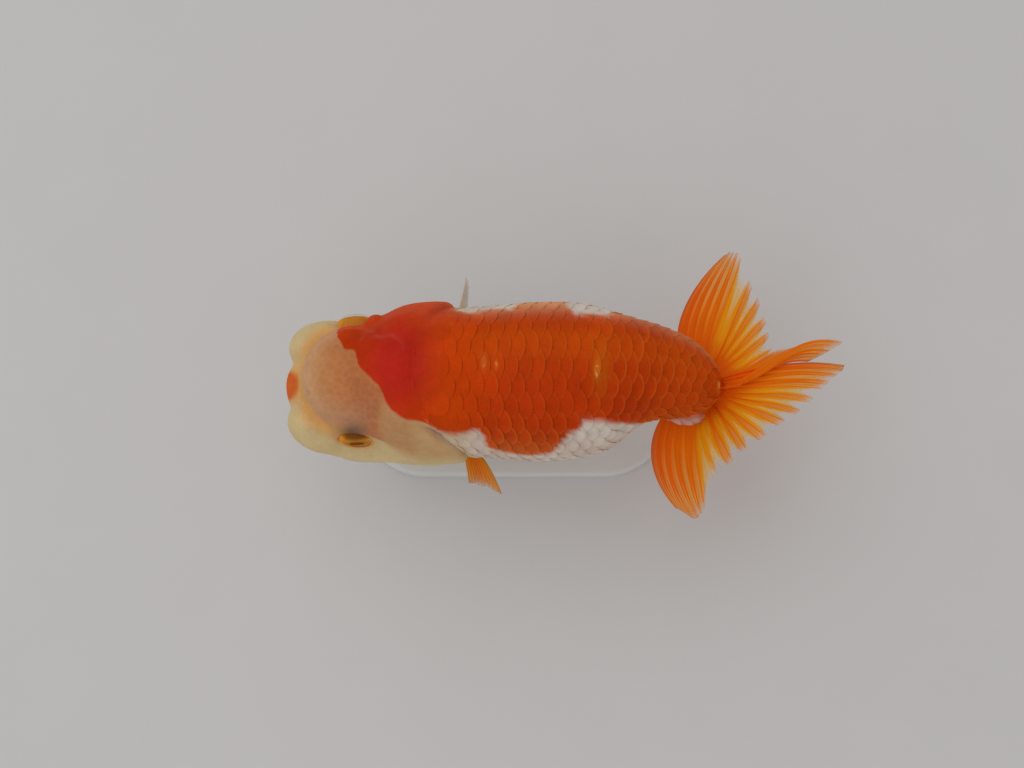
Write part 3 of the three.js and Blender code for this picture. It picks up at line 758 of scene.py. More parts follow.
def skinTone(x, y, z, net):
    # the markings, with painted shade in the mouth and the gill slits, and painted highlights on the right
    # gill cover's rim and the folds
    tone = wholeCoat(x, y, z, turnOf(x, y, z), net)
    # painted shade in the slit of the mouth
    aside = np.abs(y - skinPlan["mouthY"])
    slit = bump(z, skinPlan["mouthZ"], 0.5) * smooth(-54, -55, x)
    slit = slit * smooth(skinPlan["mouthHalfWidth"], skinPlan["mouthHalfWidth"] - 1, aside)
    tone = tone * (1 - 0.75 * smooth(0.15, 0.8, slit)[..., None])
    edge = gillEdge(x, y, z)
    # painted shade: a dark plum line in the groove behind each gill cover, deeper on the left
    grooveShade = bump(edge, -0.35, 0.42) * smooth(-24, -19, x) * (np.abs(y) > 5)
    # painted highlights: pale pink along the upper rim of the right gill cover and along the creases of the
    # hood
    rim = bump(edge, 0.5, 0.4) * (y > 0) * smooth(5, 12, z) * smooth(-27, -22, x)
    pale = 0.12 * np.maximum(rim, foldField(x, y, z)) * clamp01(0.6 + waves(x, y, z, 0.7, seed=33))
    return painted(tone, ("plum", onSide(y, 0.7, 0.35) * grooveShade), ("highlightPink", pale))


run, lean = ringTable()
skinTurn = (np.arange(skinPlan["sides"]) / skinPlan["sides"] * 360 - 180)[None, :]
skinGrid = castSurface(run, lean, skinTurn, skinDistance, coatDepth)
onSkin = skinGrid[..., 0], skinGrid[..., 1], skinGrid[..., 2] - middleZ
inCell, toNextCell = cells(*onSkin, skinPlan["cobbleSize"], seed=2)
skinGrid += gridNormals(skinGrid) * skinRelief(*onSkin, inCell)[..., None]
netLine = 1 - smooth(0.02, 0.3, toNextCell)
skinColour = skinTone(*onSkin, netLine)
print("skin grid:", skinGrid.shape)

skinPaint = Paint("goldfishSkin")
where = skinPaint.place()
fine = skinPaint.noise(where, 900, 4)
blotch = skinPaint.noise(where, 260, 3)
netWire = skinPaint.attribute("net")
tint = skinPaint.attribute("marking", "Color") * (0.86 + 0.28 * blotch) * (0.9 + 0.2 * fine)
height = fine * 0.5 + blotch * 0.5 - netWire * 0.25
skinMaterial = skinPaint.finish(
    Base_Color=tint, Roughness=0.42 + 0.2 * fine, Normal=skinPaint.bump(height, 0.00018, 0.6),
    Specular_IOR_Level=0.03,
    Subsurface_Weight=0.12, Subsurface_Radius=(1.0, 0.35, 0.15), Subsurface_Scale=0.0016,
)


def ringMiddle(ring):
    return np.array([ring[:, k].mean() for k in range(3)])


startPole, endPole = ringMiddle(skinGrid[0]) - (0.02, 0, 0), ringMiddle(skinGrid[-1]) + (0.02, 0, 0)
poleTones = [skinColour[0].mean(0)[None], skinColour[-1].mean(0)[None]]
pointTones = np.concatenate([skinColour.reshape(-1, 3), *poleTones])
skin = closedTube("skin", skinGrid, startPole, endPole, bakeMap=tubeMap(*skinGrid.shape[:2]),
                  colours={"marking": pointTones}, values={"net": np.append(netLine, [0, 0])})
finishPiece(skin, skinMaterial, "body_skin", "head", "wen_crown", "wen_cheek_left", "wen_cheek_right",
            "lip_upper", "lip_lower", "gill_cover_left", "gill_cover_right", "trunk", "tail_stalk")
print("skin:", len(skin.data.polygons), "faces")

# the scales: one closed plate repeated in staggered rows, each front edge tucked under the plate before it

scalePlan = {
    "rows": 28, "measuredAtX": 8, "frontX": -29.0, "backX": 49.6,
    "lastX": 51.2,                          # no plate reaches past it
    "rowsEnd": {4: 25, 9: 31},              # pairs of rows that run out, and where along x
    "pitchFront": 3.3, "pitchBack": 2.95,   # spacing along a row
    "length": 2.1, "width": 1.72,           # in spacings along the row and round the body
    "thickness": 0.08, "sink": 0.48, "stand": 0.04, "crown": 0.14, "curl": 0.05,
    "napeSink": 0.5, "uneven": 0.05,        # how much deeper the first plates lie, and the spread of heights
    "grid": [-1, -0.74, -0.38, 0, 0.38, 0.74, 1],
    "patch": 0.0036, "jitter": 0.035, "spin": 0.05,
    "step": 0.4,                            # over which the slopes of the body are measured
    "mapEnd": 1.16,                         # where the skin's last ring lies, in lengths of the inner line
    "lateralTurn": 88,                      # of the row of pierced plates on each flank
}


def onCoat(x, turn):
    # points of the body's outline where a level ray from the inner line at x goes out at a turn
    return castSurface(lineShare(x), np.full(x.shape, 90.0), turn, coatDistance)


def coatNormals(points, reach=0.05):
    # slope of the distance field, by small steps along each axis
    points = points - (0, 0, middleZ)
    steps = reach * np.eye(3)
    slope = np.stack([coatDistance(*(points + s).T) - coatDistance(*(points - s).T) for s in steps], -1)
    return slope / np.linalg.norm(slope, axis=-1, keepdims=True)


def girthTurn(share):
    # turn at a share of the way round the middle of the body, measured along its skin from the back
    turns = np.linspace(0, 360, 1441)
    girth = onCoat(np.full(turns.shape, float(scalePlan["measuredAtX"])), turns)
    arc = np.concatenate([[0], np.cumsum(np.linalg.norm(np.diff(girth, axis=0), axis=1))])
    return np.interp(share * arc[-1], arc, turns)


def rowWeights(x):
    # how wide each row is at x: pairs of rows on the flanks run out towards the tail
    weights = np.ones((len(x), scalePlan["rows"]))
    for first, runOut in scalePlan["rowsEnd"].items():
        mirrored = scalePlan["rows"] - first
        fade = 1 - smooth(runOut - 8, runOut + 3, x)
        weights[:, [first, first + 1, mirrored, mirrored - 1]] = fade[:, None]
    return weights


def scaleCentres():
    # x of each half step, from spacings that shrink towards the tail; every other row lies half a step on
    plan = scalePlan
    steps = [plan["frontX"]]
    while steps[-1] < plan["backX"]:
        steps.append(steps[-1] + lerp(plan["pitchFront"], plan["pitchBack"], smooth(8, 46, steps[-1])) / 2)
    steps = np.array(steps)
    weights = rowWeights(steps)
    upTo = np.cumsum(weights, axis=1) - (weights + weights[:, :1]) / 2
    turns = girthTurn(upTo / weights.sum(axis=1, keepdims=True))
    gaps = 360 / weights.sum(axis=1)
    row, half = np.meshgrid(np.arange(plan["rows"]), np.arange(len(steps)), indexing="ij")
    own = ((row + half) % 2 == 0) & (weights.T > 0.45)
    row, half = row[own], half[own]
    draw = np.random.default_rng(17)
    pitch = 2 * np.gradient(steps)[half]
    x = steps[half] + draw.normal(0, plan["jitter"], len(row)) * pitch
    turn = turns[half, row] + draw.normal(0, 9 * plan["jitter"], len(row))
    turn = np.where(turn > 180, turn - 360, turn)
    kept = x > scaleFront(turn) - 0.75 * pitch
    spread = np.gradient(turns, axis=1)[half, row]
    spread = np.where((row == 0) | (row == plan["rows"] - 1), gaps[half], spread)
    return x[kept], turn[kept], pitch[kept], spread[kept], draw.random(kept.sum())


scaleX, scaleTurn, scalePitch, scaleSpread, scaleChance = scaleCentres()
count = len(scaleX)
step = scalePlan["step"]
alongX = (onCoat(scaleX + step, scaleTurn) - onCoat(scaleX - step, scaleTurn)) / (2 * step)
alongTurn = (onCoat(scaleX, scaleTurn + step) - onCoat(scaleX, scaleTurn - step)) / (2 * step)
perX = np.linalg.norm(alongX, axis=1)[:, None]
perTurn = np.linalg.norm(alongTurn, axis=1)[:, None]
skewed = np.einsum("ij,ij->i", alongX, alongTurn)[:, None] / perX ** 2
localGap = scaleSpread[:, None] * perTurn

# square p, q in -1..1 drawn onto a disc: along = p sqrt(1 - q^2 / 2), across = q sqrt(1 - p^2 / 2)
p, q = np.meshgrid(scalePlan["grid"], scalePlan["grid"], indexing="ij")
along = (p * np.sqrt(1 - q ** 2 / 2)).ravel()
across = (q * np.sqrt(1 - p ** 2 / 2)).ravel()
spin = np.random.default_rng(23).normal(0, scalePlan["spin"], count)[:, None]
turnedAlong = along * np.cos(spin) - across * np.sin(spin)
turnedAcross = along * np.sin(spin) + across * np.cos(spin)
reachAlong = turnedAlong * scalePitch[:, None] * scalePlan["length"] / 2
reachAcross = turnedAcross * localGap * scalePlan["width"] / 2
plateTurn = scaleTurn[:, None] + reachAcross / perTurn
plateX = scaleX[:, None] + reachAlong / perX - skewed * reachAcross / perTurn
plateX = np.minimum(plateX, scalePlan["lastX"])
plateTop = onCoat(plateX.ravel(), plateTurn.ravel())
plateNormal = coatNormals(plateTop)
curl = scalePlan["curl"] * smooth(0.8, 1.0, np.hypot(along, across)) * (along > 0)
height = lerp(-scalePlan["sink"], scalePlan["stand"], (along + 1) / 2)
height = height - scalePlan["crown"] * across ** 2 - curl
onNape = (1 - smooth(0.0, 9.0, scaleX - scaleFront(scaleTurn))) * (1 - smooth(50, 66, np.abs(scaleTurn)))
height = height[None, :] - scalePlan["napeSink"] * onNape[:, None]
height = height + scalePlan["uneven"] * (scaleChance[:, None] - 0.5)
plateTop = (plateTop + plateNormal * height.reshape(-1, 1)).reshape(count, -1, 3)
plateNormal = plateNormal.reshape(count, -1, 3)

# rim of the grid in order, and the same rim again underneath
side = len(scalePlan["grid"])
index = np.arange(side * side).reshape(side, side)
rim = gridBorder(index)
under = side * side + np.arange(len(rim))
plateUnder = plateTop[:, rim] - plateNormal[:, rim] * scalePlan["thickness"]
bandQuads = np.stack([rim, under, np.roll(under, -1), np.roll(rim, -1)], -1)
underOf = dict(zip(rim.tolist(), under.tolist()))
borders = (index[:, 0], index[:, -1], index[0], index[-1])
leftSide, rightSide, frontRow, rearRow = ([underOf[v] for v in line.tolist()] for line in borders)
strips = np.stack([leftSide[1:-2], leftSide[2:-1], rightSide[2:-1], rightSide[1:-2]], -1)
ends = np.array([frontRow[::-1] + [leftSide[1], rightSide[1]], rearRow + [rightSide[-2], leftSide[-2]]])
perPlate = side * side + len(rim)


def repeated(faces):
    # one plate's faces again for every plate
    return (faces[None] + np.arange(count)[:, None, None] * perPlate).reshape(-1, faces.shape[1])


def onEveryPoint(values):
    # each plate's value again for every point of it
    return np.repeat(values, perPlate, axis=0)


# each plate's patch of the map sits where its middle is on the skin's own map
ringNumbers = [*np.cumsum(skinPlan["rings"][:3]), len(skinGrid)]
ringAt = np.interp(lineShare(scaleX), [0, skinPlan["frontPart"], 1, scalePlan["mapEnd"]], ringNumbers)
placeU, placeV = (scaleTurn + 180) % 360 / 360, ringAt / (len(skinGrid) + 1)
localU, localV = np.append(across, 0.9 * across[rim]), np.append(along, 0.9 * along[rim])
patchU = np.clip(placeU[:, None] + localU * scalePlan["patch"] / 2, 0.001, 0.999)
patchV = np.clip(placeV[:, None] + localV * scalePlan["patch"] / 2, 0.001, 0.999)
patches = np.stack([patchU, patchV], -1).reshape(-1, 2)

# last in the list are the faces that show, because they have the last say on the map
plateFaces = [repeated(ends), repeated(np.concatenate([strips, bandQuads])), repeated(gridQuads(side, side))]
plateMap = np.concatenate([patches[f.ravel()] for f in plateFaces])
platePoints = np.concatenate([plateTop, plateUnder], axis=1).reshape(-1, 3)

# the coat's markings and painted light: the skin's colours where each point of each plate lies
onPlates = platePoints[:, 0], platePoints[:, 1], platePoints[:, 2] - middleZ
coatTurn = turnOf(*onPlates)
scaleTone = wholeCoat(*onPlates, coatTurn, softness=3.0)
redRim = painted(scaleTone, ("rimGold", 0.3 + 0.2 * smooth(40, 75, np.abs(coatTurn))))
paleRim = painted(scaleTone, ("rimRose", 0.35))
rimTone = crossed(paleRim, redRim, redShare(*onPlates, coatTurn, 3.0))
lightness = onEveryPoint(lerp(0.93, 1.05, scaleChance))[:, None]
# how clearly each plate stands out: hardly on the nape, softly on the back, most on flanks and tail stalk
bold = lerp(0.35, 1.0, np.maximum(smooth(24, 50, np.abs(scaleTurn + 3)), 0.8 * smooth(12, 26, scaleX)))
bold = bold * np.maximum(smooth(-24, -2, scaleX), smooth(46, 64, np.abs(scaleTurn)))
bold = bold * lerp(0.45, 0.85, np.random.default_rng(29).random(count))
lateralRow = (np.abs(np.abs(scaleTurn) - scalePlan["lateralTurn"]) < 5) & (scaleX > -10)
scales = addMesh(
    "scales", platePoints, plateFaces, plateMap,
    {"marking": scaleTone * lightness, "rimTone": rimTone * lightness},
    {"along": np.tile(np.append(along, along[rim]), count),
     "across": np.tile(np.append(across, across[rim]), count),
     "bold": onEveryPoint(bold), "pore": onEveryPoint(lateralRow)},
    sharpAngle=50,
)

scalePaint = Paint("goldfishScales")
where = scalePaint.place()
alongWire, acrossWire = scalePaint.attribute("along"), scalePaint.attribute("across")
radiusWire = (alongWire * alongWire + acrossWire * acrossWire) ** 0.5
rearward = scalePaint.ramp(alongWire, -0.25, 0.5)
boldWire = scalePaint.attribute("bold")
crescent = scalePaint.ramp(radiusWire, 0.74, 0.97) * rearward * boldWire
# painted shade: each plate darker towards its front, where it tucks under the plate before it, and a touch
# lighter at its rear edge
tuckedShade = 1 - boldWire * scalePaint.ramp(alongWire, 0.75, -0.1, -0.03, 0.24)
speckle = scalePaint.noise(where, 1500, 3)
cloud = scalePaint.noise(where, 330, 2)
ringWaves = scalePaint.sine(radiusWire * 42)
pore = scalePaint.attribute("pore") * scalePaint.ramp(acrossWire * acrossWire, 0.03, 0.004)
pore = pore * scalePaint.ramp(alongWire, 0.0, 0.2) * scalePaint.ramp(alongWire, 0.75, 0.6)
flesh = scalePaint.attribute("marking", "Color") * tuckedShade * (0.84 + 0.32 * cloud) * (0.9 + 0.2 * speckle)
tint = scalePaint.mix(crescent, flesh, scalePaint.attribute("rimTone", "Color"))
tint = scalePaint.mix(0.15 * pore, tint, paints["poreBrown"])
broken = scalePaint.ramp(scalePaint.noise(where * (1.0, 0.5, 1.0), 1400, 2), 0.42, 0.6)
# painted highlights: small golden sparkles on a few scales, each in a painted gold halo and broken up by
# noise
glints = [(-7.5, 0.7, 0.8), (-4.5, -0.1, 0.5), (19.5, -1.4, 1.0), (50.6, -1.6, 0.8)]  # x, y and size
for glintX, glintY, size in glints:
    centre = (glintX * mm, glintY * mm, middleZ * mm + 0.02)
    spread = (1 / (0.55 * mm * size), 1 / (1.7 * mm * size), 1 / (40 * mm))
    fromCentre = {0: (where - centre) * spread}
    away = scalePaint.node("ShaderNodeVectorMath", {"operation": "LENGTH"}, fromCentre, output=1)
    tint = scalePaint.mix(0.3 * scalePaint.ramp(away, 2.6, 0.3), tint, paints["rimGold"])
    tint = scalePaint.mix(0.8 * broken * scalePaint.ramp(away, 1.2, 0.3), tint, paints["glint"])
height = ringWaves * 0.12 + speckle * 0.5 - pore * 0.6
scaleMaterial = scalePaint.finish(
    Base_Color=tint, Roughness=0.4 + 0.2 * speckle, Normal=scalePaint.bump(height, 0.00012, 0.5),
    Specular_IOR_Level=0.03,
    Subsurface_Weight=0.06, Subsurface_Radius=(1.0, 0.35, 0.15), Subsurface_Scale=0.0008,
)
finishPiece(scales, scaleMaterial, "body_skin")
print("scales:", count, "plates,", len(scales.data.polygons), "faces")


# the eyes: a ball turned on its own axis, with a shallow iris, a lens in the pupil and a clear dome over all

eyeParts = {
    "tilt": 3.5, "ahead": {"left": -3.0, "right": 4.0},     # degrees up and ahead of straight out
    # the top of each iris is darker, partly its own colour and partly painted shade under the upper lid, more
    # on the left eye
    "darkTop": {"left": 1.0, "right": 0.3},
    # radius and distance along the axis, from the back of the ball to the middle of the lens
    "ball": [(0, -4.7), (2.2, -4.2), (3.8, -2.9), (4.65, -0.9), (4.8, 0.6), (4.55, 1.9), (4.28, 2.75)],
    "iris": [(4.08, 3.25), (3.72, 3.53), (3.2, 3.75), (2.5, 3.93), (1.95, 3.99)],
    "lens": [(1.84, 3.91), (1.72, 4.01), (1.25, 4.13), (0.6, 4.21), (0, 4.23)],
    "dome": [(4.2, 2.95), (4.12, 3.45), (3.65, 4.0), (2.85, 4.44), (1.9, 4.71), (0.9, 4.85), (0, 4.88)],
    "scale": {"left": 1.0, "right": 1.05}, "aside": {"left": 0.3, "right": 0.0},
    "domeThickness": 0.12, "domeRadius": 4.5, "sides": 64,
}


def turnedProfile(profile, middle, axis, sides, finer=6):
    # radius and distance along the axis, smoothed between the given pairs, carried round the axis
    profile = np.array(profile, float)
    knots = np.arange(len(profile))
    at = np.linspace(0, knots[-1], finer * knots[-1] + 1)
    radii, along = through(knots, profile[:, 0], at), through(knots, profile[:, 1], at)
    forward = axis / np.linalg.norm(axis)
    sideways = np.cross((0, 0, 1.0), forward)
    sideways /= np.linalg.norm(sideways)
    upward = np.cross(forward, sideways)
    angle = np.arange(sides) / sides * 2 * np.pi
    around = np.cos(angle)[:, None] * sideways + np.sin(angle)[:, None] * upward
    return middle + radii[:, None, None] * around[None] + along[:, None, None] * forward, radii, angle


def eyeAxis(word, sign):
    tilt, ahead = np.radians(eyeParts["tilt"]), np.radians(eyeParts["ahead"][word])
    return np.array([-np.sin(ahead), sign * np.cos(ahead) * np.cos(tilt), np.sin(tilt)])


irisPaint = Paint("goldfishEye")
radiusWire, angleWire = irisPaint.attribute("radius"), irisPaint.attribute("angle")
aroundIris = irisPaint.node("ShaderNodeCombineXYZ", {}, {0: radiusWire * 0.25, 1: angleWire * 5})
streaks = irisPaint.noise(aroundIris, 3.0, 4)
clouds = irisPaint.noise(irisPaint.place(), 700, 3)
gold = irisPaint.node("ShaderNodeValToRGB", {"stops": [
    (0.0, (0.22, 0.060, 0.002)), (0.38, (0.26, 0.070, 0.003)), (0.42, (0.62, 0.23, 0.015)),
    (0.55, (0.60, 0.24, 0.03)), (0.70, (0.70, 0.28, 0.03)), (0.82, (0.84, 0.33, 0.03)),
    (0.93, (0.86, 0.34, 0.03)), (1.0, (0.80, 0.32, 0.05)),
]}, {"Fac": radiusWire / 4.6})
tint = gold * (0.7 + 0.6 * streaks) * (0.85 + 0.3 * clouds)
tint = irisPaint.mix(irisPaint.attribute("dark"), tint, (0.24, 0.080, 0.014))
metal = irisPaint.ramp(radiusWire, 1.9, 2.05) * irisPaint.ramp(radiusWire, 4.5, 4.3)
irisMaterial = irisPaint.finish(
    Base_Color=tint, Metallic=0.05 * metal, Roughness=0.6 - 0.1 * metal, Specular_IOR_Level=0.0,
    Normal=irisPaint.bump(streaks, 0.0001, 0.5),
)
domePaint = Paint("goldfishCornea")
wet = domePaint.noise(domePaint.place(), 300, 2)
domeMaterial = domePaint.finish(
    Base_Color=domePaint.mix(wet, (0.50, 0.28, 0.06), (0.62, 0.36, 0.08)), Roughness=0.04 + 0.03 * wet,
    Specular_IOR_Level=0.3, Alpha=0.04, Normal=domePaint.bump(wet, 0.00002, 0.3),
)
for word, sign in (("left", -1), ("right", 1)):
    low, high = boxOf("eye_" + word)
    middle, scale = (low + high) / 2, eyeParts["scale"][word]
    middle[0] += eyeParts["aside"][word]
    axis, sides = eyeAxis(word, sign), eyeParts["sides"]
    profile = scale * np.array(eyeParts["ball"] + eyeParts["iris"] + eyeParts["lens"])
    ball, radii, angle = turnedProfile(profile, middle, axis, sides)
    # painted shade under the upper lid, with some of the iris's own dark colour, over the top of the iris
    dark = smooth(2.2, 4.0, np.append(radii[1:-1, None] * np.sin(angle), [0, 0]))
    values = {
        "radius": np.append(np.repeat(radii[1:-1], sides), [0, 0]),
        "angle": np.append(np.tile(np.abs(angle - np.pi), len(radii) - 2), [0, 0]),
        "dark": eyeParts["darkTop"][word] * dark,
    }
    eye = closedTube("eyeball_" + word, ball[1:-1], ball[0, 0], ball[-1, 0], values=values)
    finishPiece(eye, irisMaterial, "eyes", "eye_" + word)
    outer, _, _ = turnedProfile(scale * np.array(eyeParts["dome"]), middle, axis, sides)
    inner = middle + (outer - middle) * (1 - eyeParts["domeThickness"] / eyeParts["domeRadius"])
    shell = np.concatenate([inner[-2::-1], outer[:-1]])
    dome = closedTube("cornea_" + word, shell, inner[-1, 0], outer[-1, 0])
    finishPiece(dome, domeMaterial, "eyes")

# the lids: a soft ring round each opening, lying on the skin and half sunk into it

lidPlan = {
    "reach": 3.48, "across": 0.22, "outward": 0.24, "sink": 0.08, "sides": 112, "section": 18,
    "nearest": 6.0, "furthest": 23.0, "halvings": 22,   # where the skin is looked for beside the middle plane
}


def besideSkin(x, z, sign):
    # distance of the head's surface from the middle plane, found by halving
    near, far = np.full(x.shape, lidPlan["nearest"]), np.full(x.shape, lidPlan["furthest"])
    for _ in range(lidPlan["halvings"]):
        middle = (near + far) / 2
        inside = headDistance(x, sign * middle, z) < 0
        near, far = np.where(inside, middle, near), np.where(inside, far, middle)
    return near


def closedRing(name, points, **more):
    # rings of points closed both along and across
    rows, columns = points.shape[:2]
    quads = gridQuads(rows + 1, columns, closed=True) % (rows * columns)
    return addMesh(name, points.reshape(-1, 3), [quads], **more)


for word, sign in (("left", -1), ("right", 1)):
    angle = sign * np.arange(lidPlan["sides"]) / lidPlan["sides"] * 2 * np.pi
    section = np.arange(lidPlan["section"]) / lidPlan["section"] * 2 * np.pi
    reach = lidPlan["reach"] * eyePlan["size"][word] * (1 + eyePlan["corner"] * np.abs(np.cos(angle)) ** 4)
    ringX = eyeX + eyePlan["back"][word] + reach * np.cos(angle)
    ringZ = eyePlan["overMiddle"] + eyePlan["rise"][word] + reach * np.sin(angle)
    ringY = besideSkin(ringX, ringZ, sign) - lidPlan["sink"]
    aside = lidPlan["across"] * np.cos(section)[None, :]
    lid = np.stack([
        ringX[:, None] + aside * np.cos(angle)[:, None],
        sign * (ringY[:, None] + lidPlan["outward"] * np.sin(section)[None, :]),
        ringZ[:, None] + aside * np.sin(angle)[:, None] + middleZ,
    ], -1)
    onLid = lid[..., 0], lid[..., 1], lid[..., 2] - middleZ
    lidTone = wholeCoat(*onLid, turnOf(*onLid)).reshape(-1, 3)
    net = np.zeros(len(lidTone))
    ring = closedRing("eyelid_" + word, lid, colours={"marking": lidTone}, values={"net": net})
    finishPiece(ring, skinMaterial, "head_skin")
print("eyes: 2 balls, 2 corneas and 2 lids")


# the fins: sheets of rays, each ray raised over the membrane between

finPlan = {"perRay": 12, "rows": 46, "rootHalf": 0.5, "tipHalf": 0.1, "rayHeight": 0.13, "wideFrom": 0.65}


def betweenRays(ray):
    # 0 on the rays, which are whole numbers, and 1 half way between two
    return np.sin(np.pi * ray) ** 2


def besideGaps(ray, openness):
    # 1 half way over each wide open gap, 0 a ray's spacing away from it
    near = 0 * ray
    for gap in np.flatnonzero(np.array(openness) > finPlan["wideFrom"]):
        near = np.maximum(near, 1 - np.abs(ray - gap - 0.5))
    return near


def gapShare(ray, t, openness):
    # 1 in the middle of a gap, which widens along its length; wide ones leave pointed lobes of rays between
    which = np.clip(np.floor(ray).astype(int), 0, len(openness) - 1)
    start = lerp(0.95, 0.15, smooth(0.1, 1.0, t))
    narrow = smooth(start, 1.0, betweenRays(ray)) * np.array(openness)[which]
    start = lerp(0.92, 0.30, smooth(0.3, 1.0, t))
    return np.maximum(narrow, smooth(start, start + 0.35, besideGaps(ray, openness)))


def closedSheet(name, middle, half, material, slot, values, *nodes):
    # both faces of a grid of points, apart by twice the half thickness, and a rim round the four borders
    rows, columns = half.shape
    other = rows * columns
    border = gridBorder(np.arange(other).reshape(rows, columns))
    nextOne = np.roll(border, -1)
    top = gridQuads(rows, columns)
    band = np.stack([border, border + other, nextOne + other, nextOne], -1)
    normals = np.cross(np.gradient(middle, axis=1), np.gradient(middle, axis=0))
    normals /= np.linalg.norm(normals, axis=-1, keepdims=True) + 1e-9
    raised = normals * half[..., None]
    points = np.concatenate([(middle + raised).reshape(-1, 3), (middle - raised).reshape(-1, 3)])
    both = {key: np.tile(np.asarray(value).ravel(), 2) for key, value in values.items()}
    sheet = addMesh(name, points, [top, top[:, ::-1] + other, band], values=both)
    finishPiece(sheet, material, slot, *nodes)


def finGrid(rays, openness, notch, seed, startAt):
    # ray numbers across, shares of the length along, and shares of the way to the edge, which is notched at
    # the open gaps and a little uneven
    ray = np.linspace(0, rays, rays * finPlan["perRay"] + 1)[None, :]
    t = np.linspace(0, 1, finPlan["rows"])[:, None] ** 0.9
    draw = np.random.default_rng(seed)
    uneven = through(np.arange(rays + 1), draw.uniform(0.975, 1.0, rays + 1), ray)
    depth = smooth(0.25, 0.8, np.array(openness))
    besideRay = 0.3 * (np.append(depth, depth[-1]) + np.append(depth[0], depth))
    stops = np.append(np.stack([besideRay[:-1], depth], 1).ravel(), besideRay[-1])
    limit = uneven * (1 - notch * through(np.arange(2 * rays + 1) / 2, stops, ray))
    return ray + 0 * t, startAt + (limit - startAt) * t, t + 0 * ray


def halfThickness(ray, t):
    ridge = 1 - betweenRays(ray)
    body = lerp(finPlan["rootHalf"], finPlan["tipHalf"], clamp01(t) ** 0.6)
    raised = finPlan["rayHeight"] * ridge * (1 - 0.6 * clamp01(t)) * smooth(-0.1, 0.3, t)
    return body * (0.6 + 0.4 * ridge) + raised


def finValues(ray, t, toEdge, lead, gap, beside):
    # what the fins' materials read at every point
    return {"ray": ray, "t": t, "edge": toEdge, "ridge": 1 - betweenRays(ray), "lead": lead,
            "gap": gap, "beside": beside}


# the tail: rays wind out of the tail root, turning and bowing on their way to the tip

tailPlan = {
    "hub": (48, 0), "rootRadius": 5,
    "rootZ": 1, "rootHeading": 10, "sideRootZ": -8, "sideTurn": 70,
    # ray number, heading, turn at the root, reach, height of the tip, bow
    "right": [
        (0, 79.6, 60, 36.2, -12.5, -6), (2.5, 77, 32, 37.8, -11.8, -4), (5, 72.8, 6, 37, -11, -2),
        (6, 67.2, -2, 32, -9.4, 0), (7, 63.5, -2, 29.6, -8.8, 0), (9, 54.8, -1, 25.8, -7, 0),
        (11, 45, -1, 22.6, -5, 0), (13, 36, -3, 20.4, -3.3, 0), (14.5, 26.5, -12, 19.2, -1.7, 1),
        (15.5, 20.5, -24, 22.5, 5, 7), (17, 13.4, -28, 33, 13, 16), (18, 10.5, -26, 29.5, 11, 14),
        (19, 8.8, -24, 24.5, 8, 11),
    ],
    "left": [
        (0, 4.0, 11, 33.6, 9.5, 0.5), (1, 2.4, 6, 32.8, 8.8, 1.5), (2, 0.2, 0, 31.6, 8, 3),
        (3.5, -4.6, -9, 28.8, 6.5, 4), (5.5, -12, -11, 26, 4.5, 4), (7.5, -19.7, -9, 23.9, 2.3, 2.5),
        (9.5, -29, -6, 21.6, 0, 1), (11.5, -44.5, -3, 19.9, -2.6, 0), (13.5, -60.5, 0, 19.2, -4.5, 0),
        (15.5, -72.2, -10, 20.7, -6, 0), (17, -81.4, -16, 24, -7.5, 0), (18, -89.3, -15, 30.8, -10, 2.5),
        (20.5, -93.6, -44, 33.2, -11.4, 1), (23, -102.5, -54, 31.4, -12.5, -6),
    ],
    # how open the gap after each ray is
    "open": {
        "right": [0.2, 0.35, 0.5, 0.5, 0.45, 1.0, 0.25, 1.0, 0.2, 0.95, 0.25, 0.9, 0.25, 0.8, 0.4, 0.12, 0.1,
                  0.15, 0.1],
        "left": [0.15, 0.3, 0.45, 0.3, 0.8, 0.25, 1.0, 0.2, 0.8, 0.25, 1.0, 0.3, 1.0, 0.3, 0.9, 0.25, 0.8,
                 1.0, 0.3, 0.35, 0.25, 0.2, 0.12],
    },
    "notch": {"right": 0.05, "left": 0.07},
    "seed": {"right": 31, "left": 32},
    # how many rays the leading part's tone takes to fade, from the first ray and from the last
    "lead": {"right": (5.0, 1.5), "left": (2.0, 5.0)},
}


def tailSheet(side, ray, t):
    # out from the hub by the radius, along a heading that turns and bows, rising by a quarter sine to the tip
    keys = np.array(tailPlan[side], float)
    heading, turn, reach, tipZ, bow = (through(keys[:, 0], keys[:, k], ray) for k in range(1, 6))
    way = np.radians(heading + turn * (1 - t) + bow * np.sin(np.pi * t))
    radius = lerp(tailPlan["rootRadius"], reach, t)
    aside = np.minimum(np.abs(heading - tailPlan["rootHeading"]) / tailPlan["sideTurn"], 1)
    rootZ = lerp(tailPlan["rootZ"], tailPlan["sideRootZ"], aside)
    z = lerp(rootZ, tipZ, np.sin(np.clip(t, -0.4, 1) * np.pi / 2))
    x = tailPlan["hub"][0] + radius * np.cos(way)
    y = tailPlan["hub"][1] + radius * np.sin(way)
    return np.stack([x, y, z + middleZ], -1)


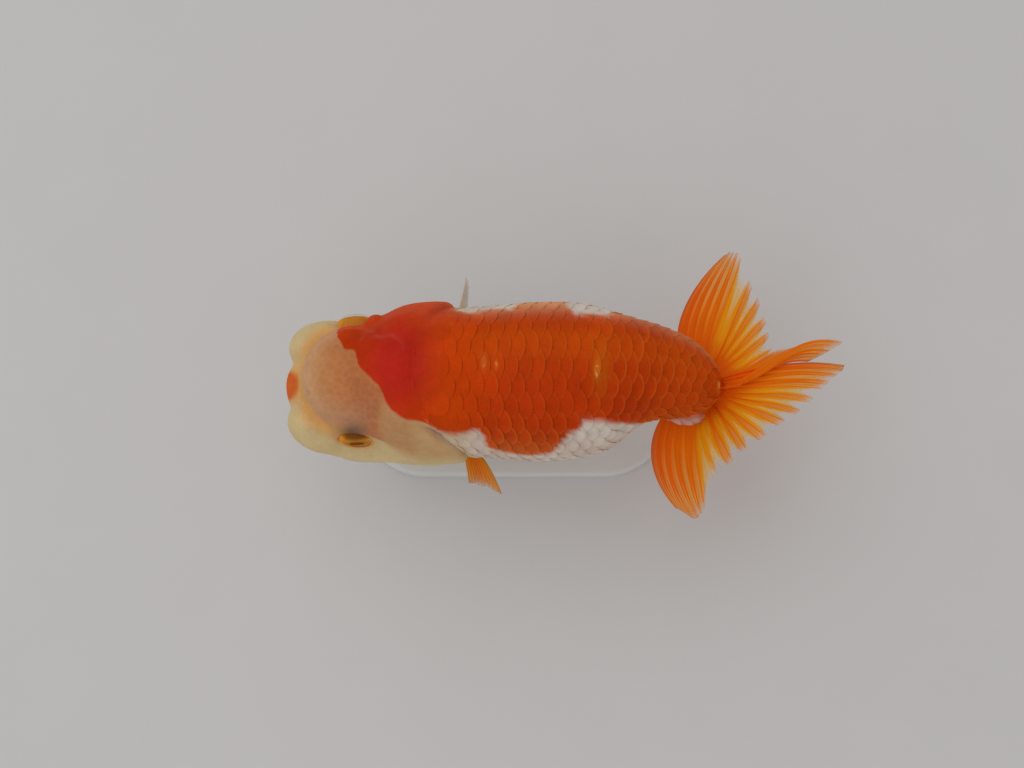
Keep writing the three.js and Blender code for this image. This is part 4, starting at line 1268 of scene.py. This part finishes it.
def finMaterial(name, tones, clear):
    # tones: root, middle, leading part, gap, pale gap, tip, first ray; streaks follow the rays, and the open
    # gaps let light through towards the edge, the more the higher clear is
    paint = Paint(name)
    ray, t = paint.attribute("ray"), paint.attribute("t")
    ridge, lead = paint.attribute("ridge"), paint.attribute("lead")
    gap, beside = paint.attribute("gap"), paint.attribute("beside")
    rootTone, middleTone, leadTone, gapTone, paleTone, tipTone, edgeTone = tones
    spread = paint.node("ShaderNodeCombineXYZ", {}, {0: ray * 2.3, 1: t * 1.3})
    streak = paint.noise(spread, 3.0, 4)
    patchy = paint.noise(paint.place(), 190, 3)
    strands = paint.sine(ray * 18.85 + 1.5 * streak)
    wander = 0.3 * (streak - 0.5)
    tone = paint.mix(paint.ramp(t, 0.0, 0.5), rootTone, middleTone)
    tone = paint.mix(lead * (0.6 + 0.4 * streak), tone, leadTone)
    tone = paint.mix(paint.ramp(beside, 0.1, 0.7) * paint.ramp(t + wander, 0.05, 0.4), tone, gapTone)
    tone = paint.mix(gap * paint.ramp(t + wander, 0.1, 0.45), tone, gapTone)
    tone = paint.mix(gap * paint.ramp(t + wander, 0.35, 0.75), tone, paleTone)
    tone = paint.mix(0.7 * paint.ramp(t + wander + 0.1 * strands, 0.72, 1.02), tone, tipTone)
    tone = paint.mix(0.45 * paint.ramp(lead, 0.95, 0.995) * paint.ramp(t, 0.3, 0.5), tone, edgeTone)
    tone = tone * (0.84 + 0.32 * streak) * (0.93 + 0.14 * patchy)
    tone = tone * (0.97 + 0.05 * strands * paint.ramp(t, 0.2, 0.6))
    seen = 1 - gap * paint.ramp(t + wander, 0.5, 1.0) * clear
    toEdge = paint.attribute("edge") + 0.4 * wander - 0.06 * lead + 0.08 * gap
    seen = seen * paint.ramp(toEdge, 1.06, 0.87, 0.0, 1.0)
    joints = paint.sine(t * 150)
    height = ridge * 0.5 + streak * 0.5 + strands * 0.12 + joints * ridge * 0.08
    return paint.finish(
        Base_Color=tone, Roughness=0.42 + 0.2 * streak, Alpha=seen, Specular_IOR_Level=0.05,
        Normal=paint.bump(height, 0.0002, 0.6),
    )


orangeFin = finMaterial("orangeFin", [
    (0.92, 0.14, 0.0015), (0.94, 0.19, 0.002), (0.92, 0.105, 0.006), (0.95, 0.36, 0.006), (0.93, 0.64, 0.25),
    (0.92, 0.47, 0.11), (0.68, 0.17, 0.05),
], 0.66)
pectoralFin = finMaterial("pectoralFin", [
    (0.80, 0.20, 0.003), (0.82, 0.18, 0.003), (0.80, 0.28, 0.012), (0.82, 0.26, 0.01), (0.90, 0.55, 0.25),
    (0.88, 0.48, 0.16), (0.74, 0.28, 0.03),
], 0.6)
paleFin = finMaterial("paleFin", [
    (0.78, 0.62, 0.48), (0.8, 0.72, 0.6), (0.8, 0.6, 0.4), (0.8, 0.74, 0.62), (0.8, 0.76, 0.68),
    (0.8, 0.75, 0.66), (0.78, 0.62, 0.48),
], 0.8)

for side in ("right", "left"):
    rays, openness = tailPlan[side][-1][0], tailPlan["open"][side]
    ray, t, toEdge = finGrid(rays, openness, tailPlan["notch"][side], tailPlan["seed"][side], -0.1)
    first, last = tailPlan["lead"][side]
    lead = 1 - smooth(0.0, first, ray) * smooth(0.0, last, rays - ray)
    values = finValues(ray, t, toEdge, lead, gapShare(ray, t, openness), besideGaps(ray, openness))
    nodes = ["tail_fin_" + side + "_upper", "tail_fin_" + side + "_lower"]
    closedSheet("tail_" + side, tailSheet(side, ray, t), halfThickness(ray, t), orangeFin,
                "orange_fins", values, *nodes)
print("tail: 2 fans")

# the paired fins: rays from a straight root to a curved edge, cupped to one side

pairedFins = {
    "pectoral_fin_left": {
        "root": [(-13.6, -15, -11), (-9.3, -16.5, -12.5)],
        "edge": [(-11.9, -22.6, -22), (-8, -23.4, -24), (-3.4, -25.6, -22)], "cup": 1.2, "rays": 9,
    },
    "pectoral_fin_right": {
        "root": [(-16, 14, -10), (-13.5, 14, -15)],
        "edge": [(-12.5, 29, -9), (-12, 28.5, -16), (-12.5, 23, -21)], "cup": -1, "rays": 9,
    },
    "pelvic_fin_left": {
        "root": [(0, -8, -22), (4.5, -6.5, -22.5)],
        "edge": [(9, -15, -30), (15, -13, -31), (15.5, -8, -28)], "cup": 0.8, "rays": 8,
    },
    "pelvic_fin_right": {
        "root": [(0, 8, -22), (4.5, 6.5, -22.5)],
        "edge": [(9, 15, -30), (15, 13, -31), (15.5, 8, -28)], "cup": -0.8, "rays": 8,
    },
    "anal_fin_left": {
        "root": [(34, -2.6, -13.5), (38.5, -2.4, -12.5)],
        "edge": [(41, -6.5, -24), (46, -6.5, -24), (47.5, -5.5, -19.5)], "cup": 0.4, "rays": 6,
    },
    "anal_fin_right": {
        "root": [(34, 5, -13.5), (38.5, 4.6, -12.5)],
        "edge": [(41, 8.5, -24), (46, 8.5, -24), (47.5, 7.5, -19.5)], "cup": -0.4, "rays": 6,
    },
}

for number, (name, fin) in enumerate(pairedFins.items()):
    openness = np.random.default_rng(61 + number).uniform(0.05, 0.35, fin["rays"])
    ray, t, toEdge = finGrid(fin["rays"], openness, 0.12, 41 + number, -0.25)
    share = ray / fin["rays"]
    root, edge = np.array(fin["root"], float), np.array(fin["edge"], float)
    outer = np.stack([through([0, 0.5, 1], edge[:, k], share) for k in range(3)], -1)
    points = lerp(lerp(root[0], root[1], share[..., None]), outer, t[..., None])
    points[..., 1] += fin["cup"] * 4 * t * (1 - t)
    points[..., 2] += middleZ
    orange = name == "pectoral_fin_left"
    lead = smooth(0.15, 0.5, np.abs(share - 0.5)) if orange else 1 - smooth(0, 1.5, ray)
    values = finValues(ray, t, toEdge, lead, gapShare(ray, t, openness), 0 * ray)
    closedSheet(name + "_rays", points, 0.7 * halfThickness(ray, t), pectoralFin if orange else paleFin,
                "orange_fins" if orange else "pale_fins", values, name)
print("paired fins:", len(pairedFins))


# the stand: a lacquered bar with round ends and rounded edges, and steel rods in small collars

standPlan = {
    "edge": 1.2, "sides": 120, "sunk": 0.6, "rodSides": 40,
    "collarRadius": 3.0, "collarHeight": 1.6, "collarEdge": 0.5,
}


def roundedBar(low, high, edge, sides):
    # outline of a bar with round ends, carried up a profile whose corners are quarter circles
    half, middle = (high - low) / 2, (high + low) / 2
    corner = np.radians(np.linspace(0, 90, 7))
    flat = [half[1] - 0.5, half[1] * 0.5]
    outward, inward = edge * (1 - np.sin(corner)), edge * (1 - np.cos(corner[1:]))
    inset = np.concatenate([flat, outward, [0], inward, flat[::-1]])
    rising = np.concatenate([[low[2], low[2]], low[2] + edge * (1 - np.cos(corner))])
    closing = np.concatenate([high[2] - edge * (1 - np.sin(corner[1:])), [high[2], high[2]]])
    height = np.concatenate([rising, [high[2] - edge], closing])
    turn = np.arange(sides) / sides * 2 * np.pi
    radius = half[1] - inset[:, None]
    straight = half[0] - half[1]
    x = middle[0] + np.sign(np.cos(turn)) * straight * (np.abs(np.cos(turn)) > 1e-6) + radius * np.cos(turn)
    y = middle[1] + radius * np.sin(turn)
    return np.stack([x, y, height[:, None] + 0 * x], -1)


lacquerPaint = Paint("standLacquer")
where = lacquerPaint.place()
dapple = lacquerPaint.noise(where, 60, 4)
peel = lacquerPaint.noise(where, 900, 2)
lacquerMaterial = lacquerPaint.finish(
    Base_Color=lacquerPaint.mix(dapple, (0.70, 0.70, 0.70), (0.76, 0.755, 0.75)),
    Roughness=0.38 + 0.1 * dapple,
    Normal=lacquerPaint.bump(peel, 0.00005, 0.3), Coat_Weight=0.15, Coat_Roughness=0.2,
)
steelPaint = Paint("standSteel")
drawn = {"Vector": steelPaint.place(), "Scale": (1.0, 1.0, 60.0)}
stretched = steelPaint.node("ShaderNodeMapping", {}, drawn)
brushed = steelPaint.noise(stretched, 90, 4)
steelMaterial = steelPaint.finish(
    Base_Color=steelPaint.mix(brushed, (0.52, 0.53, 0.54), (0.68, 0.69, 0.70)), Metallic=1.0,
    Roughness=0.22 + 0.2 * brushed, Normal=steelPaint.bump(brushed, 0.00002, 0.5),
)
baseLow, baseHigh = boxOf("stand_base")
bar = roundedBar(baseLow, baseHigh, standPlan["edge"], standPlan["sides"])
plate = closedTube("stand_plate", bar, bar[0].mean(0), bar[-1].mean(0))
finishPiece(plate, lacquerMaterial, "stand_base", "stand_base")
for word in ("front", "back"):
    low, high = boxOf("stand_rod_" + word)
    middle = (low + high) / 2
    middle[2] = 0
    rodRadius = (high - low)[0] / 2
    foot, top = baseHigh[2] - standPlan["sunk"], high[2]
    collar, collarTop = standPlan["collarRadius"], baseHigh[2] + standPlan["collarHeight"]
    edge = standPlan["collarEdge"]
    profile = np.array([
        (collar, foot), (collar, collarTop - edge), (collar - 0.15, collarTop - 0.15),
        (collar - edge, collarTop), (rodRadius + 0.35, collarTop), (rodRadius, collarTop + 0.35),
        (rodRadius, lerp(collarTop, top, 0.5)), (rodRadius, top - 0.6), (rodRadius - 0.2, top - 0.2),
        (rodRadius - 0.7, top),
    ])
    angle = np.arange(standPlan["rodSides"]) / standPlan["rodSides"] * 2 * np.pi
    ring = np.stack([np.cos(angle), np.sin(angle), 0 * angle], -1)
    rod = middle + profile[:, 0, None, None] * ring + profile[:, 1, None, None] * np.array([0, 0, 1.0])
    startPole, endPole = middle + [0, 0, foot], middle + [0, 0, top]
    rodPiece = closedTube("stand_post_" + word, rod, startPole, endPole, sharpAngle=40)
    finishPiece(rodPiece, steelMaterial, "stand_rods", "stand_rod_" + word)
print("stand: plate and 2 posts")


# floor, light and camera

stagePlan = {
    "floorHalf": 3.0, "floorTone": (0.74, 0.735, 0.74),
    "skyTone": (1.0, 0.97, 0.94), "skyStrength": 0.49,
    "lamps": {
        "softBox": {"at": (-0.55, 0.55, 1.1), "size": 1.5, "watts": 3.7, "tone": (0.96, 0.985, 1.0)},
        "fill": {"at": (-0.6, -0.7, 0.8), "size": 1.2, "watts": 1.5, "tone": (0.97, 0.985, 1.0)},
    },
    "aim": (0, 0, 0.04),
}
floorPaint = Paint("studioFloor")
grain = floorPaint.noise(floorPaint.place(), 34, 5)
floorTone = floorPaint.mix(grain, tuple(0.96 * c for c in stagePlan["floorTone"]), stagePlan["floorTone"])
floorMaterial = floorPaint.finish(Base_Color=floorTone, Roughness=0.75, Specular_IOR_Level=0.15)
half = stagePlan["floorHalf"] / mm
floorPoints = np.array([[-half, -half, 0], [half, -half, 0], [half, half, 0], [-half, half, 0.0]])
floor = addMesh("studioFloor", floorPoints, [np.array([[0, 1, 2, 3]])])
floor.data.materials.append(floorMaterial)

world = bpy.data.worlds.new("studio")
world.use_nodes = True
background = world.node_tree.nodes["Background"]
background.inputs["Color"].default_value = (*stagePlan["skyTone"], 1)
background.inputs["Strength"].default_value = stagePlan["skyStrength"]
bpy.context.scene.world = world

for lampName, plan in stagePlan["lamps"].items():
    lamp = bpy.data.lights.new(lampName, "AREA")
    lamp.shape = "SQUARE"
    lamp.size = plan["size"]
    lamp.energy = plan["watts"]
    lamp.color = plan["tone"]
    lampObject = bpy.data.objects.new(lampName, lamp)
    lampObject.location = plan["at"]
    towards = Vector(stagePlan["aim"]) - Vector(plan["at"])
    lampObject.rotation_euler = towards.to_track_quat("-Z", "Y").to_euler()
    bpy.context.scene.collection.objects.link(lampObject)

cameraPlan = {"elevation": 80, "distance": 0.5, "lens": 70.3, "shiftX": -0.00075, "shiftUp": -0.0005}
lift = np.radians(cameraPlan["elevation"])
cameraUp = Vector((0, np.sin(lift), np.cos(lift)))
cameraBack = Vector((0, -np.cos(lift), np.sin(lift)))
aim = Vector((cameraPlan["shiftX"], 0, middleZ * mm)) + cameraUp * cameraPlan["shiftUp"]
cameraData = bpy.data.cameras.new("camera")
cameraData.lens = cameraPlan["lens"]
cameraData.sensor_width = 36
camera = bpy.data.objects.new("camera", cameraData)
camera.location = aim + cameraBack * cameraPlan["distance"]
camera.rotation_euler = cameraBack.to_track_quat("Z", "Y").to_euler()
bpy.context.scene.collection.objects.link(camera)
bpy.context.scene.camera = camera
bpy.context.scene.view_settings.view_transform = "Standard"
